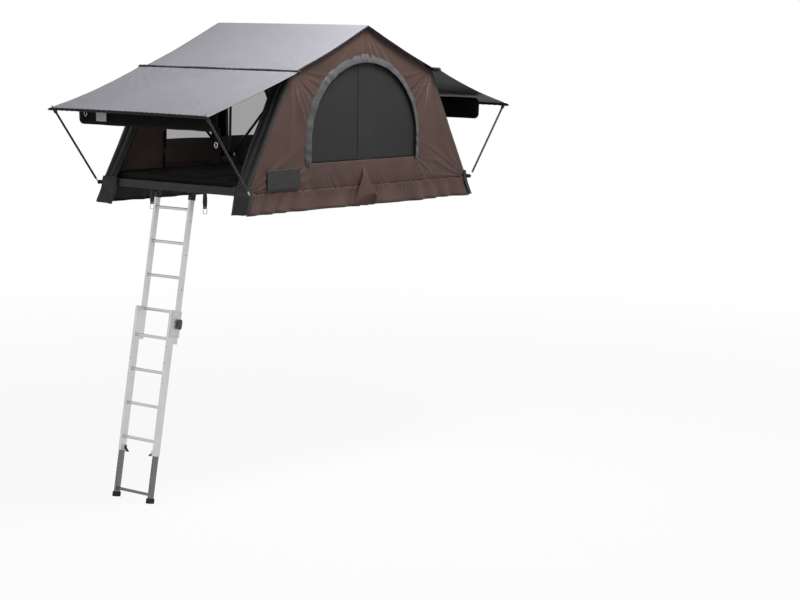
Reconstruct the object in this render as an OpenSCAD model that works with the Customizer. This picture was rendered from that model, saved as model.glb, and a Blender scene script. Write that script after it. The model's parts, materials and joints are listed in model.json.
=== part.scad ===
// Fold-out roof top tent. Two hinged base halves open like a book; four bows
// turn on the same hinge axis and spread the cloth. +Z is up, the fold axis runs
// along Y, the overhanging half with the ladder is at -X, and the origin lies
// midway between the mounting bolts on the underside of the mounting rails.

/* [Base] */
// Length of each base half, from the fold to the door edge
half_len = 1200; // [1150:10:1260]
// Width of the base along the fold axis
base_w = 1380; // [1300:10:1460]
// Height of the edge beam
beam_h = 55; // [50:1:65]
// Width of the edge beam's flanges
beam_w = 40; // [34:1:52]
// Wall thickness of the edge beam
beam_wall = 3; // [2:0.5:4]
// Thickness of the floor panel
floor_t = 27; // [22:1:30]
// Skin and web thickness of the floor panel
skin_t = 1.5; // [1:0.25:2.5]
// Gap between the two base halves at the fold
fold_gap = 8; // [4:1:14]
// Thickness of the mattress at its crown
mattress_t = 58; // [45:1:60]
// Gap from the mattress to the sides of the base
mattress_inset = 26; // [20:1:60]
// Gap from the mattress to the door edge, clear of the folded door borders
door_inset = 54; // [50:1:80]

/* [Mounting] */
// Height of the mounting rails
rail_h = 40; // [32:1:46]
// Width of the mounting rails
rail_w = 44; // [38:1:56]
// Distance of the first rail from the fold
rail_near = 250; // [200:10:350]
// Distance of the second rail from the fold
rail_far = 950; // [850:10:1050]
// Width of the bolt slot in the rails
slot_w = 8.6; // [8.4:0.1:10]
// Shank diameter of the mounting bolts
bolt_d = 8; // [6:0.1:8.2]
// Distance of the mounting bolts from the middle of the rails
bolt_y = 450; // [400:10:560]

/* [Fold hinge] */
// Height of the fold axis over the platform
hinge_h = 120; // [116:1:140]
// Thickness of the hinge plates
plate_t = 6; // [5:0.5:7]
// Radius of the hinge plate's eye
eye_r = 26; // [22:1:32]
// Diameter of the hinge pin
pin_d = 12; // [10:0.5:14]

/* [Bows] */
// Diameter of the bow tubes
bow_d = 20; // [18:0.5:22]
// Bend radius of the bows
bow_bend = 70; // [50:5:110]
// Step from the legs of one bow to those of the next
bow_step = 26; // [25:0.5:28]
// Outer diameter of the pivot eyes
pivot_d = 36; // [30:1:42]
// Distance of each ridge bow from the middle
ridge_gap = 17; // [14:0.5:24]

/* [Canopy] */
// Height of the ridge over the platform
ridge_h = 1105; // [1075:5:1160]
// Height of the eaves over the platform
eave_h = 790; // [760:5:820]
// Distance of the eaves from the middle
eave_x = 770; // [730:5:810]
// Overhang of the rain fly past the gable cloth
fly_over = 38; // [30:1:80]
// Thickness of the rain fly and awnings
cloth_t = 3; // [2:0.5:4]
// Sag of the rain fly
fly_sag = 12; // [4:1:20]
// Diameter of the eave hem
hem_d = 24; // [16:1:26]
// Reach of the awning past the eave
awning_run = 880; // [800:10:910]
// Drop of the awning from the eave to its front edge
awning_drop = 276; // [240:4:312]
// Sag of the awning
awning_sag = 14; // [4:1:24]
// Width of the awning past each end of the fly
awning_over = 30; // [20:1:60]

/* [Gables and doors] */
// Thickness of the gable cloth
wall_t = 3; // [2:0.5:4]
// Half width of the window
window_w = 585; // [520:5:620]
// Height of the window sill over the platform
window_sill = 145; // [120:5:170]
// Height where the window's arch begins, over the platform
window_spring = 300; // [260:10:340]
// Rise of the window's arch
window_rise = 540; // [480:10:560]
// Width of the band down the middle of the window
mid_band = 150; // [100:4:180]
// Width of the storm band round the window
storm_w = 48; // [30:2:60]
// Lift of the storm band from the gable
storm_t = 9; // [4:1:10]
// Depth of the skirt below the platform
skirt_drop = 180; // [140:5:200]
// Number of gathers in each half skirt
gathers = 7; // [4:1:10]
// Depth of the gathers
gather_d = 9; // [4:0.5:10]
// Width of the pleat over the hinge, along its lower edge
pleat_w = 250; // [200:10:300]
// Bulge of the pleat over the hinge
pleat_d = 48; // [30:1:56]
// Width of the folded border beside the doors
border_w = 130; // [100:5:150]
// Height of the rolled door panel
roll_h = 168; // [140:2:180]
// Thickness of the rolled door panel
roll_t = 42; // [30:2:50]
// Length of the rolled door panel
roll_len = 1290; // [1200:10:1340]
// Width of the bare patch
patch_w = 336; // [240:8:344]
// Height of the bare patch
patch_h = 140; // [80:4:144]

/* [Awning rods] */
// Diameter of the awning rods
rod_d = 10; // [8:0.5:10]
// Diameter of the stud that the rod turns on
stud_d = 6; // [5:0.5:7]

/* [Ladder] */
// Lean of the ladder from upright
ladder_lean = 10; // [8:0.5:15]
// Place of the ladder along the platform
ladder_y = 30; // [-40:5:60]
// Distance between the middles of the stiles
ladder_w = 335; // [305:5:360]
// Depth of the upper stiles
upper_d = 40; // [36:1:44]
// Thickness of the upper stiles
upper_t = 20; // [18:1:22]
// Length of the upper section from its pivot
upper_len = 1035; // [1010:5:1060]
// Depth of the lower stiles
lower_d = 50; // [46:1:54]
// Thickness of the lower stiles
lower_t = 24; // [23:0.5:26]
// Wall of the ladder tubes
stile_wall = 2.5; // [2:0.25:3]
// Distance from the pivot to the top of the lower section
lower_top = 800; // [785:5:800]
// Distance from the pivot to the bottom of the lower section
lower_end = 1820; // [1800:5:1845]
// Distance from the pivot to the ground
ladder_len = 2150; // [2130:5:2180]
// Step between the rungs
rung_step = 240; // [230:5:245]
// Diameter of the rungs
rung_d = 21; // [18:1:26]
// Diameter of the ladder's pivot pins
lad_pin_d = 10; // [8:0.5:12]

/* [Hidden] */
$fn = 48;

// Running clearance of pins in their bores, on the radius
run = 0.05;
// Gap at which cloth and pieces of two bodies lie against each other
seat = 0.3;
// Gap between the bows and the fly where it sags most
bow_seat = 0.2;
// Distance of the eave bow from the lower end of the fly
eave_in = 21;
// Inset of the first bow's legs from the side of the base, and length of the pivot eyes
bow_in = 22;
pivot_len = 22;
// Bolt channel in the rails: its lip, width and height, and the wall of the rails
lip_t = 4;
chan_w = 22;
chan_h = 10;
rail_wall = 3;
// Foot of the hinge plates along the beam, and its bolt holes
plate_foot = 250;
plate_holes = [-220, -150, -80];
plate_hole_d = 8.4;
// Place of the fold axis, with the origin midway between the mounting bolts
fold_x = -(rail_near + rail_far) / 2;
// Level of the platform, and of the fold axis
zb = rail_h + beam_h;
zh = zb + hinge_h;
// Outer side of the base, and the inner face of the gable cloth
yo = base_w / 2;
wall_y = yo + 2 * plate_t + seat + 1.7;
cloth_y = wall_y + wall_t;
// Ends of the rain fly and of the awning
fly_y = cloth_y + fly_over;
awning_y = fly_y + awning_over;
// Plane of the awning rods
rod_y = cloth_y + 35;
// Ridge line, slope of the fly and its unit vectors in X and Z
ridge_z = zb + ridge_h;
fly_len = norm([eave_x, ridge_h - eave_h]);
fly_s = [-eave_x, eave_h - ridge_h] / fly_len;
fly_n = [fly_s.y, -fly_s.x];
// Middle of the eave hem, and slope of the awning
hem = [0, ridge_z] + (fly_len + hem_d / 2 + seat) * fly_s;
awning_len = norm([awning_run, awning_drop]);
awning_s = [-awning_run, -awning_drop] / awning_len;
awning_n = [awning_s.y, -awning_s.x];
awning_top = hem + (hem_d / 2 + seat) * awning_s;
// Depth of a bow's middle under the fly, at a distance along the slope from its end
function bow_drop(l) = bow_d / 2 + cloth_t / 2 + fly_sag * sin(180 * l / fly_len) + bow_seat;
// Middle of the eave bow's tube under the fly, as an angle and a radius on the fold axis
eave_c = [0, ridge_z] + (fly_len - eave_in) * fly_s - bow_drop(eave_in) * fly_n;
eave_a = round(10 * atan2(eave_c.y - zh, -eave_c.x)) / 10;
eave_r = floor(10 * ((ridge_z - zh) * fly_n.y - bow_drop(eave_in))
    / (sin(eave_a) * fly_n.y - cos(eave_a) * fly_n.x)) / 10;
// Middle of the ridge bows' tubes
ridge_cz = ridge_z + ridge_gap * fly_s.y / -fly_s.x - bow_drop(ridge_gap / -fly_s.x) / fly_n.y;
ridge_r = norm([ridge_gap, ridge_cz - zh]);
ridge_a = atan2(ridge_cz - zh, ridge_gap);
// Awning rod: its stud, the eyelet in the awning and the rod between them
rod_x = half_len + 36;
rod_z = zb - 33;
eyelet_in = 18;
eyelet = awning_top + (awning_len - eyelet_in) * awning_s;
rod_v = eyelet - [-rod_x, rod_z];
rod_len = norm(rod_v);
rod_a = atan2(rod_v.y, -rod_v.x);
// Corner edge of the tent beside the door: from the eave to the platform
edge_top = [-eave_x, zb + eave_h - 5];
edge_end = [-half_len + 5, zb];
edge_len = norm(edge_end - edge_top);
edge_a = atan2(edge_top.x - edge_end.x, edge_top.y - edge_end.y);
// Thickness of the corner boots, and flare at their feet
boot_t = 22;
boot_flare = 40;
// Foot of the door border over the platform, and a point of it across the border
border_foot = 6;
border_out = 14;
function foot(x) = edge_end + [x * cos(edge_a), border_foot - seat - x * sin(edge_a)];
// Height of the seam between gable and skirt, and flare of the skirt at its foot
seam_drop = 35;
seam_z = zb - seam_drop;
skirt_flare = 24;
// Upper and lower ends of the pleat, half width of its tip and half width at a height
pleat_top = zb + 105;
pleat_low = zb - skirt_drop + 6;
pleat_tip = 18;
function pleat_half(z) = pleat_tip
    + (pleat_w / 2 - pleat_tip) * (pleat_top - z) / (pleat_top - pleat_low);
// Ladder pivot under the outer beam
lad_x = half_len - 28;
lad_z = rail_h - 10 - upper_d / 2;
// Straps: their places beside the ladder, width, thickness, inner radius and drop
strap_x = half_len - 14;
strap_ys = [ladder_y + ladder_w / 2 + 45, ladder_y - ladder_w / 2 - 138];
strap_w = 24;
strap_t = 2;
strap_in = 9;
strap_drop = 58;
// Middle of the lower section behind the upper one, and play between them
slide_gap = 0.6;
lower_x = -upper_d / 2 - slide_gap - lower_d / 2;
guide_top = upper_len - 230;
guide_len = 185;
guide_y = ladder_w / 2 + lower_t / 2;
lock_z = guide_top + 90;

// Sets a piece, drawn about the fold axis, into the frame of the mounting bolts
module placed() {
    translate([fold_x, 0, 0]) children();
}

// A closed sheet between two grids of points, with nu by nv cells
module sheet(nu, nv, low, high) {
    m = (nu + 1) * (nv + 1);
    function a(i, j) = i * (nv + 1) + j;
    function b(i, j) = m + a(i, j);
    top = [for (i = [0 : nu - 1], j = [0 : nv - 1]) each
        [[b(i, j), b(i, j + 1), b(i + 1, j + 1)], [b(i, j), b(i + 1, j + 1), b(i + 1, j)]]];
    bottom = [for (i = [0 : nu - 1], j = [0 : nv - 1]) each
        [[a(i, j), a(i + 1, j), a(i + 1, j + 1)], [a(i, j), a(i + 1, j + 1), a(i, j + 1)]]];
    along = [for (i = [0 : nu - 1]) each
        [[a(i, 0), b(i, 0), b(i + 1, 0)], [a(i, 0), b(i + 1, 0), a(i + 1, 0)],
        [a(i, nv), a(i + 1, nv), b(i + 1, nv)], [a(i, nv), b(i + 1, nv), b(i, nv)]]];
    across = [for (j = [0 : nv - 1]) each
        [[a(0, j + 1), b(0, j + 1), b(0, j)], [a(0, j + 1), b(0, j), a(0, j)],
        [a(nu, j), b(nu, j), b(nu, j + 1)], [a(nu, j), b(nu, j + 1), a(nu, j + 1)]]];
    polyhedron(points = concat(low, high), faces = concat(top, bottom, along, across));
}

// The same piece at the front and the rear end of the tent
module both_ends() {
    children();
    mirror([0, 1, 0]) children();
}

// The piece of the ladder half turned over to the other half
module other_half() {
    mirror([1, 0, 0]) children();
}

// Base halves

// Cellular floor panel held in the groove of the edge beam
module floor_panel() {
    lx = half_len - fold_gap / 2 - 2 * beam_wall;
    ly = base_w - 2 * beam_wall;
    cells = 20;
    step = (lx - skin_t) / cells;
    color("dimgray")
    translate([-half_len + beam_wall, -yo + beam_wall, zb - beam_wall - floor_t])
    difference() {
        cube([lx, ly, floor_t]);
        for (k = [0 : cells - 1]) translate([skin_t + k * step, -1, skin_t])
            cube([step - skin_t, ly + 2, floor_t - 2 * skin_t]);
    }
}

// Edge beam of three flanges on an outer web, joined round the base half
module edge_frame() {
    lx = half_len - fold_gap / 2;
    low_h = beam_h - 3 * beam_wall - floor_t;
    color([0.24, 0.24, 0.25])
    translate([-half_len, -yo, rail_h])
    difference() {
        cube([lx, base_w, beam_h]);
        translate([beam_w, beam_w, -1]) cube([lx - 2 * beam_w, base_w - 2 * beam_w, beam_h + 2]);
        translate([beam_wall, beam_wall, beam_h - beam_wall - floor_t])
            cube([lx - 2 * beam_wall, base_w - 2 * beam_wall, floor_t]);
        translate([beam_wall, beam_wall, beam_wall])
            cube([lx - 2 * beam_wall, base_w - 2 * beam_wall, low_h]);
        // Shallow shadow groove along the door side
        translate([-1, -1, beam_h - beam_wall - floor_t - 3]) cube([2, base_w + 2, 4]);
    }
}

// Crowned mattress half with drawn-in sides and two sewn channels
module mattress() {
    nx = 12;
    ny = 10;
    x0 = -half_len + door_inset;
    x1 = -fold_gap;
    y1 = yo - mattress_inset;
    function edge(t) = 1 - pow(abs(2 * t - 1), 6);
    function dip(t, c) = 1 - 0.22 * exp(-pow((t - c) / 0.05, 2));
    function side(t) = 4 * (1 - pow(2 * t - 1, 2));
    function put(u, v, z) = [x0 + side(v) * (1 - 2 * u) + (x1 - x0) * u,
        -y1 + side(u) * (1 - 2 * v) + 2 * y1 * v, z];
    function crown(u, v) = mattress_t * (0.72 + 0.28 * edge(u) * edge(v)) * dip(v, 0.3) * dip(v, 0.7);
    low = [for (i = [0 : nx], j = [0 : ny]) put(i / nx, j / ny, zb)];
    high = [for (i = [0 : nx], j = [0 : ny]) put(i / nx, j / ny, zb + crown(i / nx, j / ny))];
    color([0.12, 0.12, 0.13]) sheet(nx, ny, low, high);
}

module floor_panel_outer() { floor_panel(); }
module floor_panel_inner() { other_half() floor_panel(); }
module edge_frame_outer() { edge_frame(); }
module edge_frame_inner() { other_half() edge_frame(); }
module mattress_outer() { mattress(); }
module mattress_inner() { other_half() mattress(); }

// Mounting rails: C channels with a bolt slot along their undersides
module mounting_rails() {
    color("silver")
    for (x = [rail_near, rail_far])
        translate([x, yo, 0]) rotate([90, 0, 0])
        linear_extrude(height = base_w)
        difference() {
            translate([-rail_w / 2, 0]) square([rail_w, rail_h]);
            translate([-slot_w / 2, -1]) square([slot_w, lip_t + 2]);
            translate([-chan_w / 2, lip_t]) square([chan_w, chan_h]);
            translate([-rail_w / 2 + rail_wall, lip_t + chan_h + rail_wall])
                square([rail_w - 2 * rail_wall, rail_h - lip_t - chan_h - 2 * rail_wall]);
        }
}

// Mounting bolts: shank below the rail, square neck in the slot, head in the channel
module rail_bolts() {
    shank = 34;
    neck = slot_w - 0.4;
    head = chan_w - 3;
    color("silver")
    for (x = [rail_near, rail_far], y = [-bolt_y, bolt_y])
        translate([x, y, 0]) {
            translate([0, 0, -shank]) cylinder(d = bolt_d, h = shank + 1);
            translate([-neck / 2, -neck / 2, 0]) cube([neck, neck, lip_t + 1]);
            translate([-head / 2, -head / 2, lip_t]) cube([head, head, 6]);
        }
}

// Fold hinge

// Outline of a hinge plate: an eye on the axis, an arm and a foot on the beam
module plate_outline() {
    difference() {
        union() {
            translate([0, zh]) circle(r = eye_r);
            polygon([[-0.8 * eye_r, zh + 0.55 * eye_r], [-plate_foot, zb - 4], [-plate_foot, rail_h + 4],
                [-50, rail_h + 4], [0.75 * eye_r, zh - 0.6 * eye_r]]);
        }
        polygon([[-32, zh - 44], [-70, zb + 26], [-40, zb + 26]]);
        for (x = plate_holes) translate([x, zb - beam_h / 2]) circle(d = plate_hole_d);
    }
}

module plate_solid(y) {
    difference() {
        translate([0, y + plate_t, 0]) rotate([90, 0, 0])
            linear_extrude(height = plate_t) plate_outline();
        translate([0, y - 1, zh]) rotate([-90, 0, 0])
            cylinder(d = pin_d + 2 * run, h = plate_t + 2);
    }
}

module hinge_plates_inner() {
    color([0.15, 0.15, 0.16]) both_ends() other_half() plate_solid(yo);
}

// The outer plates stand off by a spacer, so that they turn beside the inner ones
module hinge_plates_outer() {
    color([0.15, 0.15, 0.16])
    both_ends() {
        plate_solid(yo + plate_t + seat);
        difference() {
            translate([-plate_foot, yo, rail_h + 4]) cube([plate_foot - 60, plate_t + seat, beam_h - 8]);
            for (x = plate_holes) translate([x, yo - 1, zb - beam_h / 2])
                rotate([-90, 0, 0]) cylinder(d = plate_hole_d, h = plate_t + 3);
        }
    }
}

// Hinge pins through the plates and the eyes of all four bows
module hinge_pins() {
    inner = yo - bow_in - 3 * bow_step - pivot_len / 2 - 3;
    color("silver")
    both_ends()
    translate([0, 0, zh]) rotate([-90, 0, 0]) {
        translate([0, 0, inner]) cylinder(d = pin_d, h = yo + 2 * plate_t + seat - inner);
        translate([0, 0, inner - 4]) cylinder(d = pin_d + 8, h = 4);
    }
}

// Bows

// A bow bent from tube, on the fold axis: radius to its top, place of its legs,
// and angle up from the outer side
module bow(r, y, a) {
    color([0.07, 0.07, 0.08])
    translate([0, 0, zh]) rotate([0, 180 + a, 0])
    difference() {
        union() {
            both_ends() {
                translate([0, y - pivot_len / 2, 0]) rotate([-90, 0, 0])
                    cylinder(d = pivot_d, h = pivot_len);
                translate([10, y, 0]) rotate([0, 90, 0]) cylinder(d = bow_d, h = r - bow_bend - 10);
                translate([r - bow_bend, y - bow_bend, 0]) rotate_extrude(angle = 90)
                    translate([bow_bend, 0]) rotate(90) circle(d = bow_d);
            }
            translate([r, -y + bow_bend, 0]) rotate([-90, 0, 0])
                cylinder(d = bow_d, h = 2 * (y - bow_bend));
        }
        both_ends() translate([0, y - pivot_len / 2 - 1, 0]) rotate([-90, 0, 0])
            cylinder(d = pin_d + 2 * run, h = pivot_len + 2);
    }
}

module eave_bow_outer() { bow(eave_r, yo - bow_in, eave_a); }
module ridge_bow_outer() { bow(ridge_r, yo - bow_in - bow_step, ridge_a); }
module ridge_bow_inner() { bow(ridge_r, yo - bow_in - 2 * bow_step, 180 - ridge_a); }
module eave_bow_inner() { bow(eave_r, yo - bow_in - 3 * bow_step, 180 - eave_a); }

// Canopy

// A sagging slope of cloth: start and direction in X and Z, normal, length,
// half width and sag
module slope(start, s, n, len, half, sag, nu, nv) {
    function at(u, v, t) = let (
            d = t - sag * sin(180 * u) * (1 - 0.25 * pow(2 * v - 1, 2)),
            p = start + u * len * s + d * n)
        [p.x, half * (2 * v - 1), p.y];
    low = [for (i = [0 : nu], j = [0 : nv]) at(1 - i / nu, j / nv, -cloth_t / 2)];
    high = [for (i = [0 : nu], j = [0 : nv]) at(1 - i / nu, j / nv, cloth_t / 2)];
    sheet(nu, nv, low, high);
}

// Rain fly from the ridge to the eave
module fly() {
    color([0.45, 0.45, 0.48])
    slope([0, ridge_z] + 0.8 * fly_s, fly_s, fly_n, fly_len - 0.8, fly_y, fly_sag, 10, 8);
}

// Padded hem along the eave, whose ends stand out past the fly and the awning
module eave_hem() {
    stub = 14;
    color([0.08, 0.08, 0.09])
    translate([hem.x, -awning_y - stub, hem.y]) rotate([-90, 0, 0])
        cylinder(d = hem_d, h = 2 * (awning_y + stub));
}

// Awning over the door with an eyelet in each front corner
module awning() {
    color([0.45, 0.45, 0.48])
    difference() {
        slope(awning_top, awning_s, awning_n, awning_len, awning_y, awning_sag, 8, 6);
        both_ends() translate([-rod_x, rod_y, rod_z]) rotate([0, 180 + rod_a, 0])
            rotate([0, 90, 0]) translate([0, 0, rod_len - 40])
            cylinder(d = 13, h = 80, $fn = 12);
    }
}

// Door panel rolled flat and hung under the awning, with its lap along one side
module door_roll() {
    u = 0.75;
    x = awning_top.x + u * awning_len * awning_s.x;
    sag = awning_sag * sin(180 * u);
    z = awning_top.y + u * awning_len * awning_s.y - (sag + cloth_t / 2) / awning_n.y - seat
        - 6 * awning_drop / awning_run;
    r = roll_t / 2;
    color([0.1, 0.1, 0.11])
    translate([x, roll_len / 2, z]) rotate([90, 0, 0]) {
        linear_extrude(height = roll_len)
        difference() {
            union() {
                translate([-6, -roll_t]) square([12, roll_t]);
                translate([0, -r - 6]) circle(r = r);
                translate([-r, -roll_h + r]) square([roll_t, roll_h - 2 * r - 6]);
                translate([0, -roll_h + r]) circle(r = r);
            }
            translate([-r - 1, -roll_h + r]) square([3, 4]);
            translate([r - 2, -roll_h + 1.6 * r]) square([3, 4]);
        }
    }
}

module fly_outer() { fly(); }
module fly_inner() { other_half() fly(); }
module eave_hem_outer() { eave_hem(); }
module eave_hem_inner() { other_half() eave_hem(); }
module awning_outer() { awning(); }
module awning_inner() { other_half() awning(); }
module door_roll_outer() { door_roll(); }
module door_roll_inner() { other_half() door_roll(); }

// Gables

// One half of the arched window's outline, grown by a margin round the arch
module arch(m) {
    sill = zb + window_sill;
    spring = zb + window_spring;
    polygon(concat([[-0.4, sill], [-window_w - m, sill]],
        [for (a = [180 : -6 : 96])
            [(window_w + m) * cos(a), spring + (window_rise + m) * sin(a)]],
        [[-0.4, spring + window_rise + m]]));
}

// Plate in the gable plane, from its outline in X and Z
module in_gable(y, t) {
    translate([0, y + t, 0]) rotate([90, 0, 0]) linear_extrude(height = t) children();
}

// Gable cloth of one half, under the sagging fly, with the window cut out
module gable() {
    under = 14;
    color([0.33, 0.24, 0.21])
    in_gable(wall_y, wall_t)
    difference() {
        polygon([[-0.4, seam_z + seat], [-half_len + 2, seam_z + seat], [-half_len + 5, zb],
            [-eave_x + 12, zb + eave_h - under], [-0.4, ridge_z - under]]);
        arch(0);
    }
}

// See-through mesh in the window, with a closed band down its middle
module window_mesh() {
    color([0.1, 0.1, 0.1]) {
        in_gable(wall_y + wall_t / 2 - 0.5, 1) arch(0);
        in_gable(wall_y + wall_t / 2 - 1, 2)
        intersection() {
            arch(0);
            translate([-mid_band / 2, zb]) square([mid_band / 2, ridge_h]);
        }
    }
}

// Storm band raised round the sides and the arch of the window
module storm_band() {
    color([0.5, 0.47, 0.45])
    in_gable(cloth_y, storm_t)
    difference() {
        arch(storm_w);
        arch(0);
        translate([-1, zb]) square([2, ridge_h]);
    }
}

// Gathered skirt below the seam
module skirt() {
    n = gathers * 6;
    function drop(v) = seam_z - (skirt_drop - seam_drop) * v;
    function wave(u) = 0.5 + 0.5 * sin(360 * gathers * u + 40 * sin(360 * u));
    function at(u, v, t) = [
        -half_len + 2 - skirt_flare * v
            + (half_len - 2 + skirt_flare * v - pleat_half(drop(v)) - seat) * u,
        cloth_y - wall_t + t + v * (2 + gather_d * (0.4 + 0.6 * v) * wave(u)),
        drop(v)];
    low = [for (i = [0 : n], j = [0 : 3]) at(i / n, j / 3, wall_t)];
    high = [for (i = [0 : n], j = [0 : 3]) at(i / n, j / 3, 0)];
    color([0.33, 0.24, 0.21]) both_ends() sheet(n, 3, high, low);
}

// Pleat that opens like a gusset over the hinge plates and pins
module centre_pleats() {
    n = 14;
    m = 8;
    function peak(u) = 1 - pow(abs(2 * u - 1), 1.6);
    function swell(v) = 0.12 + 0.88 * sin(min(90, 130 * v)) - 0.25 * max(0, v - 0.75);
    function at(u, v, t) = let (z = pleat_top + (pleat_low - pleat_top) * v)
        [2 * pleat_half(z) * (u - 0.5), cloth_y + seat + t + pleat_d * peak(u) * swell(v), z];
    low = [for (i = [0 : n], j = [0 : m]) at(i / n, j / m, wall_t)];
    high = [for (i = [0 : n], j = [0 : m]) at(i / n, j / m, 0)];
    color([0.33, 0.24, 0.21]) both_ends() sheet(n, m, high, low);
}

// Door border: cloth folded in three rounded layers along the slanted corner
module door_border() {
    w = border_w;
    color([0.09, 0.09, 0.1])
    both_ends()
    translate([edge_end.x, wall_y - seat, edge_end.y + border_foot]) rotate([0, edge_a, 0])
    linear_extrude(height = edge_len - 36)
    difference() {
        union() {
            translate([-11, -w]) square([20, w]);
            for (k = [0 : 2]) translate([-4, -w / 6 - k * w / 3]) circle(r = w / 6 - 2);
        }
        translate([9, -w - 1]) square([60, w + 2]);
        translate([-60 - border_out, -w - 1]) square([60, w + 2]);
        for (k = [1 : 2]) translate([-12, -k * w / 3]) circle(r = 5);
    }
}

// Boot over the corner of the base, up to the foot of the door border
module corner_boots() {
    inner = foot((-half_len - edge_end.x) / cos(edge_a));
    outer = foot(-border_out);
    color([0.08, 0.08, 0.09])
    both_ends()
    translate([0, wall_y - 1, 0]) rotate([90, 0, 0])
    linear_extrude(height = border_w - 24)
    polygon([inner, outer, [-half_len - boot_t, outer.y], [-half_len - boot_t, zb - 75],
        [-half_len - boot_t - boot_flare, zb - skirt_drop + 8],
        [-half_len - boot_flare, zb - skirt_drop + 4],
        [-half_len, zb - 68]]);
}

// Rod bracket: a riveted plate on the boot with a stud for the rod's eye
module rod_brackets() {
    px = -half_len - boot_t;
    color([0.2, 0.2, 0.21])
    both_ends() {
        translate([px - 4, wall_y - 66, rod_z - 14]) cube([4, 66 + rod_y - 6 - wall_y, 28]);
        translate([-rod_x - 9, rod_y - 11, rod_z - 14]) cube([rod_x + 9 + px - 1, 5, 28]);
        translate([-rod_x, rod_y - 6, rod_z]) rotate([-90, 0, 0]) cylinder(d = stud_d, h = 10);
        translate([-rod_x, rod_y + 4, rod_z]) rotate([-90, 0, 0]) cylinder(d = stud_d + 4, h = 2.5);
        for (y = [18, 48]) translate([px - 4, wall_y - y, rod_z]) rotate([0, -90, 0])
            cylinder(d1 = 10, d2 = 6, h = 2.5);
    }
}

module gable_front_outer() { mirror([0, 1, 0]) gable(); }
module gable_rear_outer() { gable(); }
module gable_front_inner() { mirror([0, 1, 0]) other_half() gable(); }
module gable_rear_inner() { other_half() gable(); }
module window_mesh_outer() { both_ends() window_mesh(); }
module window_mesh_inner() { both_ends() other_half() window_mesh(); }
module storm_band_outer() { both_ends() storm_band(); }
module storm_band_inner() { both_ends() other_half() storm_band(); }
module skirt_outer() { skirt(); }
module skirt_inner() { other_half() skirt(); }
module door_border_outer() { door_border(); }
module door_border_inner() { other_half() door_border(); }
module corner_boots_outer() { corner_boots(); }
module corner_boots_inner() { other_half() corner_boots(); }
module rod_brackets_outer() { rod_brackets(); }
module rod_brackets_inner() { other_half() rod_brackets(); }

// Bare patch low on the front gable
module bare_patch() {
    color([0.12, 0.12, 0.13])
    translate([-half_len + 163, -cloth_y - 2, zb - 19]) cube([patch_w, 2, patch_h]);
}

// Spring steel awning rod: an eye on the stud and a straight run to the eyelet
module rod() {
    color([0.12, 0.12, 0.12])
    translate([-rod_x, rod_y, rod_z]) rotate([0, 180 + rod_a, 0]) {
        difference() {
            translate([0, -3.5, 0]) rotate([-90, 0, 0]) cylinder(d = stud_d + 8, h = 7);
            translate([0, -5, 0]) rotate([-90, 0, 0]) cylinder(d = stud_d + 2 * run, h = 10);
        }
        translate([stud_d / 2 + 2, 0, 0]) rotate([0, 90, 0])
            cylinder(d = rod_d, h = rod_len + 16 - stud_d / 2 - 2);
    }
}

module rod_rear_outer() { rod(); }
module rod_front_outer() { mirror([0, 1, 0]) rod(); }
module rod_rear_inner() { other_half() rod(); }
module rod_front_inner() { mirror([0, 1, 0]) other_half() rod(); }

// Ladder

// Place of the ladder: its pivot at the origin and its length along -Z
module on_ladder() {
    translate([-lad_x, ladder_y, lad_z]) rotate([0, ladder_lean, 0]) children();
}

// The same piece on the left and the right stile
module both_stiles() {
    children();
    mirror([0, 1, 0]) children();
}

// Lugs and pins under the beam that carry the ladder
module ladder_brackets() {
    color([0.1, 0.1, 0.11])
    translate([-lad_x, ladder_y, 0]) both_stiles() {
        translate([-24, ladder_w / 2 - 24, rail_h - 5]) cube([48, 48, 5]);
        for (y = [-20, 15]) translate([0, ladder_w / 2 + y, 0]) {
            translate([-18, 0, lad_z]) cube([36, 5, rail_h - lad_z - 4]);
            translate([0, 0, lad_z]) rotate([-90, 0, 0]) cylinder(r = 18, h = 5);
        }
        translate([0, ladder_w / 2 - 23, lad_z]) rotate([-90, 0, 0]) cylinder(d = lad_pin_d, h = 46);
    }
}

// Black caps on the tops of the stiles
module ladder_top_caps() {
    color([0.08, 0.08, 0.09])
    on_ladder() both_stiles() translate([0, ladder_w / 2, 0])
    difference() {
        union() {
            translate([0, -14, 0]) rotate([-90, 0, 0]) cylinder(r = upper_d / 2 + 3, h = 28);
            translate([-upper_d / 2 - 3, -14, -28]) cube([upper_d + 6, 28, 28]);
        }
        translate([0, -15, 0]) rotate([-90, 0, 0]) cylinder(d = lad_pin_d + 2 * run, h = 30);
        translate([-upper_d / 2, -upper_t / 2, -50]) cube([upper_d, upper_t, 30]);
    }
}

// Upper stiles: rectangular tubes, with a row of lock holes on their outer sides
module ladder_upper_stiles() {
    color([0.72, 0.72, 0.7])
    on_ladder() both_stiles() translate([0, ladder_w / 2, -upper_len])
    difference() {
        translate([-upper_d / 2, -upper_t / 2, 0]) cube([upper_d, upper_t, upper_len - 20]);
        translate([-upper_d / 2 + stile_wall, -upper_t / 2 + stile_wall, -1])
            cube([upper_d - 2 * stile_wall, upper_t - 2 * stile_wall, upper_len - 28]);
        for (k = [0 : 3]) translate([0, 0, upper_len - lock_z + k * rung_step])
            rotate([-90, 0, 0]) cylinder(d = 9, h = upper_t);
    }
}

// A round tube as a rung between two stiles
module rung(x, z, len, d) {
    translate([x, -len / 2, z])
    difference() {
        rotate([-90, 0, 0]) cylinder(d = d, h = len);
        translate([0, -1, 0]) rotate([-90, 0, 0]) cylinder(d = d - 5, h = len + 2);
    }
}

module ladder_upper_rungs() {
    color([0.75, 0.75, 0.73])
    on_ladder() for (k = [0 : 3]) rung(0, -95 - k * rung_step, ladder_w - upper_t, rung_d);
}

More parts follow.
